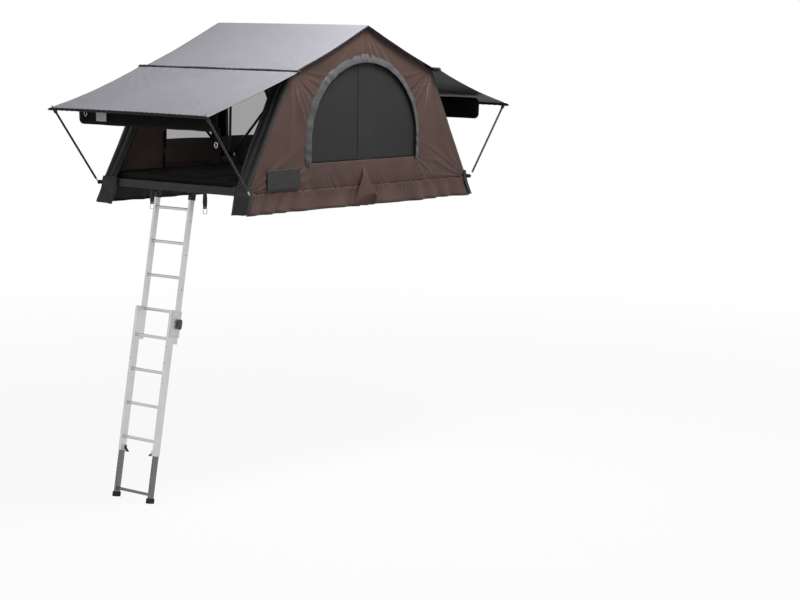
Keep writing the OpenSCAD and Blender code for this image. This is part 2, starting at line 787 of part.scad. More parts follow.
// Lower stiles: open tubes that hold the legs
module ladder_lower_stiles() {
    h = lower_end - lower_top;
    color([0.72, 0.72, 0.7])
    on_ladder() both_stiles() translate([lower_x, ladder_w / 2, -lower_end])
    difference() {
        translate([-lower_d / 2, -lower_t / 2, 0]) cube([lower_d, lower_t, h]);
        translate([-lower_d / 2 + stile_wall, -lower_t / 2 + stile_wall, -1])
            cube([lower_d - 2 * stile_wall, lower_t - 2 * stile_wall, h - 3]);
        for (k = [0 : 2]) translate([-lower_d / 2 - 1, 0, h - 260 - k * 110])
            rotate([0, 90, 0]) cylinder(d = 7, h = stile_wall + 2);
    }
}

module ladder_lower_rungs() {
    first = lower_top + 203;
    color([0.75, 0.75, 0.73])
    on_ladder() for (k = [0 : 3])
        rung(lower_x, -first - k * rung_step, ladder_w - lower_t, rung_d + 1);
}

// Guides on the lower section that hook round the upper stiles, and lever ears
module ladder_guides() {
    back = upper_d / 2 + slide_gap;
    front = lower_x - lower_d / 2 + 4;
    color([0.3, 0.3, 0.31])
    on_ladder() both_stiles() {
        difference() {
            union() {
                translate([front, guide_y, -guide_top - guide_len]) cube([back + 3.5 - front, 4, guide_len]);
                translate([back, guide_y - 18, -guide_top - guide_len]) cube([3.5, 20, guide_len]);
            }
            translate([0, guide_y - 1, -lock_z]) rotate([-90, 0, 0]) cylinder(d = 8 + 2 * run, h = 8);
        }
        for (x = [lower_x - 17, lower_x + 13]) translate([x, ladder_w / 2 - lower_t / 2, -lower_end + 24])
            translate([0, -18, -14]) cube([4, 18, 28]);
        translate([lower_x - 17, ladder_w / 2 - lower_t / 2 - 11, -lower_end + 24])
            rotate([0, 90, 0]) cylinder(d = 5, h = 34);
    }
}

// Sprung pull pin through the guide
module lock_pin() {
    color([0.1, 0.1, 0.11])
    on_ladder() translate([0, guide_y, -lock_z]) rotate([-90, 0, 0]) {
        translate([0, 0, -lower_t / 2 + upper_t / 2 + seat]) cylinder(d = 8, h = 20);
        for (y = [-18, 18]) translate([0, y, 14]) cylinder(d = 36, h = 12);
        translate([-18, -18, 14]) cube([36, 36, 12]);
        translate([0, 0, 4 + seat]) cylinder(d = 14, h = 10);
    }
}

module lock_pin_left() { lock_pin(); }
module lock_pin_right() {
    translate([0, 2 * ladder_y, 0]) mirror([0, 1, 0]) lock_pin();
}

// Legs that slide out of the lower stiles, with the bottom rung between them
module ladder_legs() {
    leg_d = lower_d - 2 * stile_wall - 1.4;
    leg_t = lower_t - 2 * stile_wall - 1;
    top = lower_end - 290;
    foot = ladder_len - 35;
    color([0.5, 0.5, 0.5])
    on_ladder() {
        both_stiles() translate([lower_x, ladder_w / 2, -foot])
        difference() {
            translate([-leg_d / 2, -leg_t / 2, 0]) cube([leg_d, leg_t, foot - top]);
            translate([-leg_d / 2 + 2, -leg_t / 2 + 2, 6]) cube([leg_d - 4, leg_t - 4, foot - top]);
            for (k = [0 : 8]) translate([-leg_d / 2 - 1, 0, 70 + k * 32])
                rotate([0, 90, 0]) cylinder(d = 8, h = 4);
        }
        rung(lower_x, -foot + 24, ladder_w - leg_t, rung_d);
    }
}

// Rubber feet on the ends of the legs
module ladder_feet() {
    color([0.05, 0.05, 0.05])
    on_ladder() both_stiles()
    translate([lower_x - lower_d / 2 - 2, ladder_w / 2 - lower_t / 2 - 2, -ladder_len])
    difference() {
        cube([lower_d + 4, lower_t + 4, 35]);
        for (x = [10, 22, 34]) translate([x, -1, -1]) cube([4, lower_t + 6, 4]);
    }
}

// Spring lever on the ears beside each leg
module leg_lever() {
    color([0.1, 0.1, 0.11])
    on_ladder()
    translate([lower_x - 12.5, ladder_w / 2 - lower_t / 2 - 11, -lower_end + 24]) rotate([0, 90, 0])
    difference() {
        union() {
            cylinder(d = 11, h = 25);
            rotate([0, 0, -50]) translate([0, -2.5, 0]) cube([46, 5, 25]);
        }
        translate([0, 0, -1]) cylinder(d = 5 + 2 * run, h = 27);
    }
}

module leg_lever_left() { leg_lever(); }
module leg_lever_right() {
    translate([0, 2 * ladder_y, 0]) mirror([0, 1, 0]) leg_lever();
}

// Straps

// Loops of webbing hung under the outer beam
module strap_loops() {
    r = strap_in + strap_t;
    color([0.06, 0.06, 0.06])
    for (y = strap_ys) translate([-strap_x, y + strap_w / 2, 0]) rotate([90, 0, 0])
    linear_extrude(height = strap_w)
    difference() {
        union() {
            translate([-r, -strap_drop]) square([2 * r, rail_h + strap_drop]);
            translate([0, -strap_drop]) circle(r = r);
        }
        translate([-strap_in, -strap_drop]) square([2 * strap_in, rail_h + strap_drop - 3]);
        translate([0, -strap_drop]) circle(r = strap_in);
    }
}

// Metal buckles in the loops
module strap_buckles() {
    d = 5;
    w = strap_w + 16;
    h = 38;
    color("silver")
    for (y = strap_ys) translate([-strap_x, y, -strap_drop - strap_in + d / 2 + 0.5]) {
        for (z = [0, -h]) translate([0, -w / 2, z]) rotate([-90, 0, 0]) cylinder(d = d, h = w);
        for (s = [-w / 2, w / 2 - 4]) translate([-d / 2, s, -h]) cube([d, 4, h]);
    }
}

placed() floor_panel_inner();
placed() edge_frame_inner();
placed() mounting_rails();
placed() rail_bolts();
placed() hinge_plates_inner();
placed() hinge_pins();
placed() mattress_inner();
placed() gable_front_inner();
placed() gable_rear_inner();
placed() window_mesh_inner();
placed() storm_band_inner();
placed() skirt_inner();
placed() centre_pleats();
placed() door_border_inner();
placed() corner_boots_inner();
placed() rod_brackets_inner();
placed() floor_panel_outer();
placed() edge_frame_outer();
placed() hinge_plates_outer();
placed() mattress_outer();
placed() gable_front_outer();
placed() gable_rear_outer();
placed() window_mesh_outer();
placed() storm_band_outer();
placed() skirt_outer();
placed() door_border_outer();
placed() corner_boots_outer();
placed() rod_brackets_outer();
placed() bare_patch();
placed() ladder_brackets();
placed() strap_loops();
placed() strap_buckles();
placed() eave_bow_outer();
placed() ridge_bow_outer();
placed() ridge_bow_inner();
placed() eave_bow_inner();
placed() fly_outer();
placed() fly_inner();
placed() eave_hem_outer();
placed() eave_hem_inner();
placed() awning_outer();
placed() awning_inner();
placed() door_roll_outer();
placed() door_roll_inner();
placed() rod_front_outer();
placed() rod_rear_outer();
placed() rod_front_inner();
placed() rod_rear_inner();
placed() ladder_upper_stiles();
placed() ladder_upper_rungs();
placed() ladder_top_caps();
placed() ladder_lower_stiles();
placed() ladder_lower_rungs();
placed() ladder_guides();
placed() lock_pin_left();
placed() lock_pin_right();
placed() ladder_legs();
placed() leg_lever_left();
placed() leg_lever_right();
placed() ladder_feet();
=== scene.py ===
import json
import math

import bmesh
import bpy
import numpy as np
from mathutils import Matrix, Vector


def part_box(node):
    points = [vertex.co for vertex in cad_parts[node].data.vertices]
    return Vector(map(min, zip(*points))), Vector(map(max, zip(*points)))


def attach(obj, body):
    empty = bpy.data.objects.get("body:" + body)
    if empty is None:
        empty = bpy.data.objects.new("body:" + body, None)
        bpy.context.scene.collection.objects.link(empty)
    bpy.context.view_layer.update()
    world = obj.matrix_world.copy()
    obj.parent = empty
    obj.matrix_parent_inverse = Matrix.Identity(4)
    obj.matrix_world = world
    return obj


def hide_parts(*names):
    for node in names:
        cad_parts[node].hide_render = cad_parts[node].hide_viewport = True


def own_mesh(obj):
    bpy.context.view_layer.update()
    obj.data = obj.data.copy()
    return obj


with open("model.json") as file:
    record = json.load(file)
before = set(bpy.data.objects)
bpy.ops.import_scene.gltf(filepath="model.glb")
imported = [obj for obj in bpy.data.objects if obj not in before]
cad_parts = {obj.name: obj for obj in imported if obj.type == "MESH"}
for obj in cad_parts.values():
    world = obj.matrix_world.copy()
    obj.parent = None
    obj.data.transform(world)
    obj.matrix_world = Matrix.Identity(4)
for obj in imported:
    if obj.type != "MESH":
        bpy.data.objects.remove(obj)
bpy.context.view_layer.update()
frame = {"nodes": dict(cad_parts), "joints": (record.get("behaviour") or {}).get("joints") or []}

# Camera: a long lens a little above the ridge, looking down at the ladder side and
# the front gable.
CAMERA_PLACE = (-12.079, -10.289, 1.281)
VIEW_TURN = math.radians(-51.2)
VIEW_DROP = math.radians(7.83)
VIEW_ROLL = math.radians(0.73)
FOCAL_PIXELS = 2078.0
PICTURE_WIDTH = 800.0
back = Vector((math.sin(VIEW_TURN) * math.cos(VIEW_DROP),
               -math.cos(VIEW_TURN) * math.cos(VIEW_DROP), math.sin(VIEW_DROP)))
right = (-back).cross(Vector((0, 0, 1))).normalized()
up = right.cross(-back)
turned_right = right * math.cos(VIEW_ROLL) + up * math.sin(VIEW_ROLL)
turned_up = up * math.cos(VIEW_ROLL) - right * math.sin(VIEW_ROLL)
camera = bpy.data.objects.new("camera", bpy.data.cameras.new("camera"))
camera.data.sensor_width = 36.0
camera.data.lens = FOCAL_PIXELS / PICTURE_WIDTH * camera.data.sensor_width
camera.data.clip_end = 1500.0
camera.matrix_world = Matrix.Translation(CAMERA_PLACE) @ Matrix(
    (turned_right, turned_up, back)).transposed().to_4x4()
bpy.context.scene.collection.objects.link(camera)
bpy.context.scene.camera = camera
bpy.context.scene.view_settings.view_transform = "Standard"


# Studio: a pale floor at the ladder's feet, white to the camera but still
# taking the shadow, a white surround, and three large soft lamps.
class Socket:
    """A node's output that adds, multiplies and so on as a plain number would."""

    def __init__(self, owner, link):
        self.owner = owner
        self.link = link

    def maths(self, operation, a, b=0.0):
        return self.owner.add("ShaderNodeMath", {"operation": operation}, {0: a, 1: b})[0]

    def __add__(self, other):
        return self.maths("ADD", self, other)

    def __radd__(self, other):
        return self.maths("ADD", other, self)

    def __sub__(self, other):
        return self.maths("SUBTRACT", self, other)

    def __rsub__(self, other):
        return self.maths("SUBTRACT", other, self)

    def __mul__(self, other):
        return self.maths("MULTIPLY", self, other)

    def __rmul__(self, other):
        return self.maths("MULTIPLY", other, self)

    def __truediv__(self, other):
        return self.maths("DIVIDE", self, other)

    def __rtruediv__(self, other):
        return self.maths("DIVIDE", other, self)

    def __gt__(self, other):
        return self.maths("GREATER_THAN", self, other)

    def sine(self):
        return self.maths("SINE", self)

    def part(self):
        return self.maths("FRACT", self)

    def size(self):
        return self.maths("ABSOLUTE", self)

    def most(self, other):
        return self.maths("MAXIMUM", self, other)


class Outputs:
    def __init__(self, owner, made):
        self.owner = owner
        self.made = made

    def __getitem__(self, key):
        return Socket(self.owner, self.made.outputs[key])


class Nodes:
    """A tree of nodes, to which one method adds a node of any type."""

    def feed(self, socket, value):
        if isinstance(value, Socket):
            self.tree.links.new(value.link, socket)
        elif socket.type == "RGBA":
            socket.default_value = (*value, 1.0)
        else:
            socket.default_value = value

    def add(self, kind, settings, values):
        made = self.tree.nodes.new(kind)
        for key, value in settings.items():
            if key == "stops":
                ramp = made.color_ramp
                while len(ramp.elements) < len(value):
                    ramp.elements.new(0.5)
                for element, (place, colour) in zip(ramp.elements, value):
                    element.position = place
                    element.color = (*colour, 1.0)
            else:
                setattr(made, key, value)
        for key, value in values.items():
            self.feed(made.inputs[key], value)
        return Outputs(self, made)


class Shade(Nodes):
    def __init__(self, name, world=None):
        self.material = world or bpy.data.materials.new(name)
        self.material.use_nodes = True
        self.tree = self.material.node_tree
        self.surface = self.tree.nodes["Background" if world else "Principled BSDF"]

    def place(self):
        return self.add("ShaderNodeTexCoord", {}, {})["Object"]

    def cut(self):
        uv = self.add("ShaderNodeUVMap", {"uv_map": "cut"}, {})["UV"]
        split = self.add("ShaderNodeSeparateXYZ", {}, {"Vector": uv})
        return uv, split["X"], split["Y"]

    def noise(self, scale, detail=3.0, rough=0.55, vector=None, stretch=None):
        where = vector or self.place()
        if stretch:
            where = self.add("ShaderNodeMapping", {}, {"Vector": where, "Scale": stretch})["Vector"]
        return self.add("ShaderNodeTexNoise", {}, {
            "Vector": where, "Scale": scale, "Detail": detail, "Roughness": rough})["Fac"]

    def ramp(self, value, stops):
        return self.add("ShaderNodeValToRGB", {"stops": stops}, {"Fac": value})["Color"]

    def bump(self, height, depth, strength=1.0):
        return self.add("ShaderNodeBump", {}, {
            "Height": height, "Distance": depth, "Strength": strength})["Normal"]

    def seen(self):
        light = self.add("ShaderNodeLightPath", {}, {})
        return light["Is Camera Ray"].most(light["Is Glossy Ray"]).most(light["Is Transmission Ray"])

    def finish(self, **values):
        for key, value in values.items():
            self.feed(self.surface.inputs[key.replace("_", " ")], value)
        return self.material


FLOOR_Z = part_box("ladder_feet")[0].z - 0.002
FLOOR_REACH = 400.0
floor_mesh = bpy.data.meshes.new("studio_floor")
floor_mesh.from_pydata([(x * FLOOR_REACH, y * FLOOR_REACH, FLOOR_Z)
                        for x, y in ((-1, -1), (1, -1), (1, 1), (-1, 1))], [], [(0, 1, 2, 3)])
floor = bpy.data.objects.new("studio_floor", floor_mesh)
bpy.context.scene.collection.objects.link(floor)
paper = Shade("studio_paper")
paper_grain = paper.noise(2.0)
paper.finish(Base_Color=paper.ramp(paper_grain, [(0.3, (0.87, 0.87, 0.87)), (0.7, (0.90, 0.90, 0.90))]),
             Roughness=0.9)
paper_reach = paper.add("ShaderNodeVectorMath", {"operation": "LENGTH"}, {0: paper.place()})["Value"]
paper_far = paper.add("ShaderNodeMapRange", {"interpolation_type": "SMOOTHSTEP"}, {
    "Value": paper_reach, "From Min": 3.2, "From Max": 12.0})["Result"]
paper_glow = paper.add("ShaderNodeEmission", {}, {"Color": (1.0, 1.0, 1.0), "Strength": 1.0})["Emission"]
paper_mix = paper.add("ShaderNodeMixShader", {}, {
    0: paper.seen() * (0.92 + 0.08 * paper_far),
    1: Socket(paper, paper.surface.outputs["BSDF"]), 2: paper_glow})
paper.feed(paper.tree.nodes["Material Output"].inputs["Surface"], paper_mix["Shader"])
floor_mesh.materials.append(paper.material)

sky = Shade("studio_sky", bpy.data.worlds.new("studio_sky"))
sky.finish(Color=(1.0, 1.0, 1.0), Strength=0.14 + 0.86 * sky.seen())
bpy.context.scene.world = sky.material

LAMP_AIM = Vector((-0.6, 0, 0.3))
for lamp_name, lamp_place, lamp_size, lamp_watts in (
        ("overhead", (-0.5, -2.1, 3.8), 1.6, 262.0),
        ("front", (-3.0, -8.5, 3.0), 5.0, 60.0),
        ("ladder_side", (-9.0, -3.5, 1.4), 5.0, 80.0)):
    lamp = bpy.data.objects.new(lamp_name, bpy.data.lights.new(lamp_name, "AREA"))
    lamp.data.size = lamp_size
    lamp.data.energy = lamp_watts
    lamp.location = lamp_place
    lamp.rotation_mode = "QUATERNION"
    lamp.rotation_quaternion = (LAMP_AIM - Vector(lamp_place)).to_track_quat("-Z", "Y")
    bpy.context.scene.collection.objects.link(lamp)

# Edge beams: aluminium sections mitred round both base halves, in a dark grey
# textured powder coat that is rubbed paler on its faces.
nodes = frame["nodes"]


def dress(names, material):
    for name in names:
        slots = nodes[name].data.materials
        slots.clear()
        slots.append(material)


def coated(name, dark, pale, grain, rough):
    shade = Shade(name)
    speckle = shade.noise(grain, 2.0, 0.6)
    rub = shade.noise(6.0, 4.0, 0.6)
    colour = shade.ramp(speckle * 0.45 + rub * 0.55, [(0.32, dark), (0.68, pale)])
    return shade.finish(Base_Color=colour, Roughness=rough - 0.12 * rub + 0.06 * speckle,
                        Normal=shade.bump(speckle, 0.0004, 0.6), Specular_IOR_Level=0.3)


beam_coat = coated("beam_coat", (0.017, 0.017, 0.017), (0.031, 0.031, 0.031), 420.0, 0.52)
dress(("edge_frame_inner", "edge_frame_outer"), beam_coat)


# Floor panels: twin-skin aluminium boards, mill finish with long drawing lines, that
# lie on a ledge inside the edge beams.
def drawn_metal(name, dark, pale, along, rough):
    shade = Shade(name)
    stretch = [1.0, 1.0, 1.0]
    stretch["XYZ".index(along)] = 0.02
    lines = shade.noise(260.0, 3.0, 0.6, stretch=tuple(stretch))
    stain = shade.noise(4.0, 4.0, 0.6)
    colour = shade.ramp(lines * 0.5 + stain * 0.5, [(0.3, dark), (0.7, pale)])
    return shade.finish(Base_Color=colour, Metallic=1.0, Roughness=rough + 0.14 * stain - 0.08 * lines,
                        Normal=shade.bump(lines, 0.0002, 0.5))


floor_alloy = drawn_metal("floor_alloy", (0.42, 0.42, 0.43), (0.60, 0.60, 0.61), "Y", 0.34)
dress(("floor_panel_inner", "floor_panel_outer"), floor_alloy)

# Mounting rails: extruded channels bolted under the inner half, and their zinc
# plated square-necked bolts.
rail_alloy = drawn_metal("rail_alloy", (0.50, 0.50, 0.51), (0.66, 0.66, 0.67), "Y", 0.30)
dress(("mounting_rails",), rail_alloy)
zinc = Shade("zinc_steel")
spangle = zinc.add("ShaderNodeTexVoronoi", {}, {"Vector": zinc.place(), "Scale": 160.0})["Color"]
zinc_tone = zinc.add("ShaderNodeSeparateColor", {}, {"Color": spangle})["Red"]
zinc_steel = zinc.finish(
    Base_Color=zinc.ramp(zinc_tone, [(0.0, (0.50, 0.50, 0.51)), (1.0, (0.70, 0.70, 0.70))]),
    Metallic=1.0, Roughness=0.24 + 0.2 * zinc_tone)
dress(("rail_bolts", "hinge_pins", "strap_buckles"), zinc_steel)

# Hinge plates, rod brackets and ladder lugs: pressed steel in black powder coat, fixed
# to the edge beams.
black_steel = coated("black_steel", (0.012, 0.012, 0.013), (0.030, 0.030, 0.031), 520.0, 0.46)
dress(("hinge_plates_inner", "hinge_plates_outer", "rod_brackets_inner", "rod_brackets_outer",
       "ladder_brackets"), black_steel)

# Bows: black anodised aluminium tube bent to a U, whose ends turn on the hinge pins.
# Two of them carry the ridge and two the eaves.
bow_coat = coated("bow_coat", (0.010, 0.010, 0.011), (0.024, 0.024, 0.026), 300.0, 0.36)
dress(("eave_bow_outer", "ridge_bow_outer", "ridge_bow_inner", "eave_bow_inner"), bow_coat)


# Mattress: two foam halves in a black cotton cover, with rounded edges and two sewn
# channels in each.
def joint(name):
    return next(j for j in frame["joints"] if j["name"] == name)


HALVES = (("outer", -1), ("inner", 1))
FOLD_X = joint("base_fold")["pos_m"][0]
PLATFORM_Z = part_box("edge_frame_inner")[1].z
MATTRESS_RISE = 0.056


def woven(name, dark, pale, yarn, rough, shine=0.2, ripstop=0.0, fade=3.0):
    shade = Shade(name)
    uv, u, v = shade.cut()
    turn = 2 * math.pi / yarn
    weave = (u * turn).sine() * (v * turn).sine()
    height = weave * 0.5 + 0.5
    if ripstop:
        grid_u = ((u / ripstop).part() - 0.5).size() > 0.44
        grid_v = ((v / ripstop).part() - 0.5).size() > 0.44
        height = height * 0.7 + (grid_u + grid_v) * 0.3
    slub = shade.noise(90.0, 3.0, 0.6, vector=uv)
    cloud = shade.noise(fade, 4.0, 0.6)
    tone = cloud * 0.55 + slub * 0.25 + height * 0.2
    colour = shade.ramp(tone, [(0.3, dark), (0.72, pale)])
    return shade.finish(Base_Color=colour, Roughness=rough + 0.12 * slub - 0.08 * cloud,
                        Normal=shade.bump(height + slub * 0.6, yarn * 0.25, 0.35), Specular_IOR_Level=shine)


mattress_cover = woven("mattress_cover", (0.009, 0.009, 0.010), (0.020, 0.020, 0.022), 0.0011, 0.7,
                       shine=0.12)


def add_object(name, vertices, faces, materials, uvs=None, shade_of=None):
    mesh = bpy.data.meshes.new(name)
    mesh.from_pydata([tuple(p) for p in vertices], [], faces)
    for material in materials:
        mesh.materials.append(material)
    if shade_of is not None:
        mesh.polygons.foreach_set("material_index", np.asarray(shade_of, np.int32))
    mesh.polygons.foreach_set("use_smooth", np.ones(len(faces), bool))
    if uvs is not None:
        layer = mesh.uv_layers.new(name="cut")
        corner = np.empty(len(mesh.loops), np.int32)
        mesh.loops.foreach_get("vertex_index", corner)
        layer.data.foreach_set("uv", np.asarray(uvs, np.float32)[corner].ravel())
    tidy = bmesh.new()
    tidy.from_mesh(mesh)
    bmesh.ops.recalc_face_normals(tidy, faces=tidy.faces)
    tidy.to_mesh(mesh)
    tidy.free()
    mesh.update()
    made = bpy.data.objects.new(name, mesh)
    bpy.context.scene.collection.objects.link(made)
    return made


def smooth_noise(x, y, scale, seed):
    rng = np.random.default_rng(seed)
    total = np.zeros_like(np.asarray(x, float))
    for _ in range(6):
        turn = rng.uniform(0, 2 * math.pi)
        pace = scale * rng.uniform(0.6, 1.7)
        total = total + np.sin(pace * (x * math.cos(turn) + y * math.sin(turn)) + rng.uniform(0, 6.3))
    return total / 6


def hump(distance, width):
    return np.exp(-(distance / width) ** 2)


def from_fold(side, a, y, z):
    """Points from their distance to the fold on one side, their place along it and height."""
    return np.stack(np.broadcast_arrays(FOLD_X + side * a, y, z), -1)


def edge_of(grid):
    return np.concatenate([grid[0, :-1], grid[:-1, -1], grid[-1, :0:-1], grid[:0:-1, 0]])


def cells_of(index):
    return np.stack([index[:-1, :-1], index[1:, :-1], index[1:, 1:], index[:-1, 1:]], 2).reshape(-1, 4)


def mattress_half(half, side):
    low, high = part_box("mattress_" + half)
    near, far = sorted((abs(low.x - FOLD_X), abs(high.x - FOLD_X)))
    half_width = high.y - 0.004
    across, deep, round_steps = 64, 60, 9
    a = np.linspace(0, 1, deep)
    b = np.linspace(0, 1, across)
    aa, bb = np.meshgrid(a, b, indexing="ij")
    edge_a = 1 - np.abs(2 * aa - 1) ** 10
    edge_b = 1 - np.abs(2 * bb - 1) ** 12
    crown = MATTRESS_RISE * (0.66 + 0.34 * (edge_a * edge_b) ** 0.5)
    for line in (0.3, 0.7):
        crown -= 0.010 * hump(bb - line, 0.012) * edge_a
    crown += 0.0016 * smooth_noise(aa * far, bb * 2 * half_width, 22, 5)
    pull_a = 0.006 * (1 - (2 * bb - 1) ** 2)
    pull_b = 0.006 * (1 - (2 * aa - 1) ** 2)
    place_a = near + (far - near) * aa + pull_a * (1 - 2 * aa)
    place_b = -half_width + 2 * half_width * bb + pull_b * (1 - 2 * bb)
    top = from_fold(side, place_a, place_b, PLATFORM_Z + crown)
    rim = edge_of(top)
    centre = np.array([FOLD_X + side * (near + far) / 2, 0.0, 0.0])
    layers = []
    for k in range(1, round_steps + 1):
        turn = math.pi * k / round_steps
        bulge = 0.007 * math.sin(turn)
        drop = (1 - math.cos(turn)) / 2
        flat = rim - centre
        reach = np.linalg.norm(flat[:, :2], axis=1, keepdims=True)
        layer = rim.copy()
        layer[:, :2] += flat[:, :2] / reach * bulge
        layer[:, 2] = rim[:, 2] + (PLATFORM_Z + 0.0005 - rim[:, 2]) * drop
        layers.append(layer)
    index = np.arange(deep * across).reshape(deep, across)
    faces = cells_of(index).tolist()
    ring = edge_of(index)
    vertices = [top.reshape(-1, 3)]
    count = deep * across
    for layer in layers:
        fresh = np.arange(count, count + len(layer))
        faces += np.stack([ring, np.roll(ring, -1), np.roll(fresh, -1), fresh], 1).tolist()
        vertices.append(layer)
        ring = fresh
        count += len(layer)
    faces.append(ring.tolist())
    vertices = np.concatenate(vertices)
    made = add_object(f"mattress_{half}_cover", vertices, faces, [mattress_cover], vertices[:, :2])
    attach(made, half + "_base")
    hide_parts("mattress_" + half)


for half, side in HALVES:
    mattress_half(half, side)

# Gables: brown ripstop canvas, one cut for each half of each end, sewn down the
# middle, stretched from the fly's edge to the platform and creased at its corners.
ENDS = (("front", -1), ("rear", 1))
QUARTERS = [(half, side, end_name, end) for half, side in HALVES for end_name, end in ENDS]
WALL_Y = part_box("gable_rear_outer")[0].y + 0.0015
RIDGE_Z = 1.200
EAVE_X = 0.770
EAVE_Z = 0.885
HALF_LENGTH = 1.200
SEAM_Z = 0.060
WINDOW_HALF = 0.585
WINDOW_SILL = 0.240
WINDOW_SPRING = 0.395
WINDOW_RISE = 0.540
FLY_SAG = 0.012
FLY_SLOPE_COS = 0.9227
GABLE_EDGE = HALF_LENGTH - 0.003
GABLE_ROWS = 34
OUTLINE_STEPS = (60, 70, 90)
CANVAS_THICK = 0.0012
seams = {"outer": [], "inner": []}
brown_canvas = woven("brown_canvas", (0.058, 0.034, 0.0285), (0.098, 0.060, 0.051), 0.0010, 0.48,
                     shine=0.16, ripstop=0.007)
# The canvas's inner side is a much lighter copy of the outer canvas: painted light for the dim inside of the
# tent.
brown_inside_painted_light = woven("brown_canvas_inside_painted_light", (0.17, 0.110, 0.096), (0.27, 0.180, 0.160), 0.0010, 0.74)


def unit(value):
    return np.clip(value, 0, 1)


def run_lengths(points, axis):
    """Distance from the start of a path, or along one axis of a grid."""
    steps = np.cumsum(np.linalg.norm(np.diff(points, axis=axis), axis=-1), axis=axis)
    return np.concatenate([np.zeros_like(steps.take([0], axis)), steps], axis=axis)


def cut_of(points, middle):
    """The flat cut of a grid: how far each point lies along its middle and across it."""
    along = np.repeat(run_lengths(middle, 0)[:, None], points.shape[1], 1)
    return np.stack([along, run_lengths(points, 1)], 2).reshape(-1, 2)


def cloth(name, points, thick, materials, outward, rim=None, bound=False):
    """A closed sheet: a grid of points given a thickness along its normals. Materials are
    those of the outer side, the inner side and the rim, which a bound sheet also has on
    the first and last strip across it."""
    points = np.asarray(points, float)
    n, m = points.shape[:2]
    normal = np.cross(np.gradient(points, axis=0), np.gradient(points, axis=1))
    normal /= np.linalg.norm(normal, axis=2, keepdims=True) + 1e-12
    if np.sum(normal @ np.asarray(outward, float)) < 0:
        normal = -normal
    outer = points + normal * thick / 2
    inner = points - normal * thick / 2
    uv = cut_of(points, points[:, m // 2])
    index = np.arange(n * m).reshape(n, m)
    cells = cells_of(index)
    ring = edge_of(index)
    shift = n * m
    sides = np.stack([ring, np.roll(ring, -1), np.roll(ring, -1) + shift, ring + shift], 1)
    faces = np.concatenate([cells, cells[:, ::-1] + shift, sides])
    kinds = np.repeat([0, min(1, len(materials) - 1)], len(cells)).reshape(2, n - 1, m - 1)
    if bound:
        kinds[:, :, (0, -1)] = rim
    kinds = [*kinds.ravel(), *[0 if rim is None else rim] * len(sides)]
    vertices = np.concatenate([outer.reshape(-1, 3), inner.reshape(-1, 3)])
    return add_object(name, vertices, faces.tolist(), materials, np.concatenate([uv, uv]), kinds)


def line(p, q, count):
    t = np.linspace(0, 1, count, endpoint=False)[:, None]
    return np.asarray(p) * (1 - t) + np.asarray(q) * t


def window_outline(top, side, sill):
    """Half the window's outline, from the top of its arch round to the middle of its sill."""
    split = math.radians(58)
    arch = [np.linspace(0, split, top, endpoint=False),
            np.linspace(split, math.pi / 2, side * 2 // 3, endpoint=False)]
    arcs = [np.stack([WINDOW_HALF * np.sin(t), WINDOW_SPRING + WINDOW_RISE * np.cos(t)], 1) for t in arch]
    jamb = line((WINDOW_HALF, WINDOW_SPRING), (WINDOW_HALF, WINDOW_SILL), side - side * 2 // 3)
    base = np.concatenate([line((WINDOW_HALF, WINDOW_SILL), (0, WINDOW_SILL), sill), [[0, WINDOW_SILL]]])
    return np.concatenate([*arcs, jamb, base])


def gable_outline(top, side, seam):
    """Half the gable's outline, from the ridge round to the middle of the lower seam."""
    t = np.linspace(0, 1, top, endpoint=False)
    sag = (FLY_SAG * 0.78 * np.sin(math.pi * t) + 0.004) / FLY_SLOPE_COS
    slope = np.stack([EAVE_X * t, RIDGE_Z + (EAVE_Z - RIDGE_Z) * t - sag], 1)
    return np.concatenate([slope, line((EAVE_X, EAVE_Z - 0.004), (GABLE_EDGE, PLATFORM_Z), side - 6),
                           line((GABLE_EDGE, PLATFORM_Z), (GABLE_EDGE, SEAM_Z), 6),
                           line((GABLE_EDGE, SEAM_Z), (0, SEAM_Z), seam), [[0, SEAM_Z]]])


def fan(a, z, middle, turns, reach, height, seed):
    """Creases that spread from a corner where the cloth is pulled."""
    rng = np.random.default_rng(seed)
    radius = np.hypot(a - middle[0], z - middle[1])
    angle = np.degrees(np.arctan2(z - middle[1], a - middle[0]))
    total = np.zeros_like(a)
    for turn in turns:
        width = rng.uniform(1.8, 4.2)
        length = reach * rng.uniform(0.6, 1.3)
        bend = rng.uniform(-14, 14) * radius
        grow = radius / length * np.exp(1 - radius / length)
        total += rng.uniform(0.5, 1.0) * hump(angle - turn - bend, width) * grow
    return height * total


def canvas_creases(a, z, seed):
    rng = np.random.default_rng(seed)
    lift = np.zeros_like(a)
    for k, (corner, first, last, count, stray, reach, height) in enumerate((
            ((0.0, RIDGE_Z), -88, -36, 9, 3, 0.17, 0.0060),
            ((EAVE_X, EAVE_Z), -172, -78, 10, 5, 0.16, 0.0085),
            ((HALF_LENGTH, SEAM_Z), 108, 172, 6, 5, 0.16, 0.0085),
            ((WINDOW_HALF, WINDOW_SILL), -80, -10, 4, 6, 0.12, 0.0055))):
        turns = np.linspace(first, last, count) + rng.uniform(-stray, stray, count)
        lift += fan(a, z, corner, turns, reach, height, seed + k)
    lift += 0.0045 * smooth_noise(a, z, 7, seed + 4) + 0.0012 * smooth_noise(a, z, 30, seed + 5)
    slant = a - 0.55 * (z - SEAM_Z) + 0.03 * np.sin(11 * a + seed)
    patchy = 0.35 + 0.65 * unit(smooth_noise(a, 0 * z, 8, seed + 6) * 1.6 + 0.35)
    gather = np.abs(np.sin(46 * slant + 1.8 * np.sin(13 * slant + seed))) ** 1.5
    return lift + 0.0095 * gather * patchy * hump(z - SEAM_Z, 0.085)


def in_gable(flat, lift, side, end):
    """Points of a gable piece from its place in the gable's plane and its lift from it."""
    return from_fold(side, flat[..., 0], end * (WALL_Y + lift), flat[..., 1])


def on_base(piece, half):
    """A piece that rides on a base half, with a mesh of its own."""
    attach(piece, half + "_base")
    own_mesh(piece)


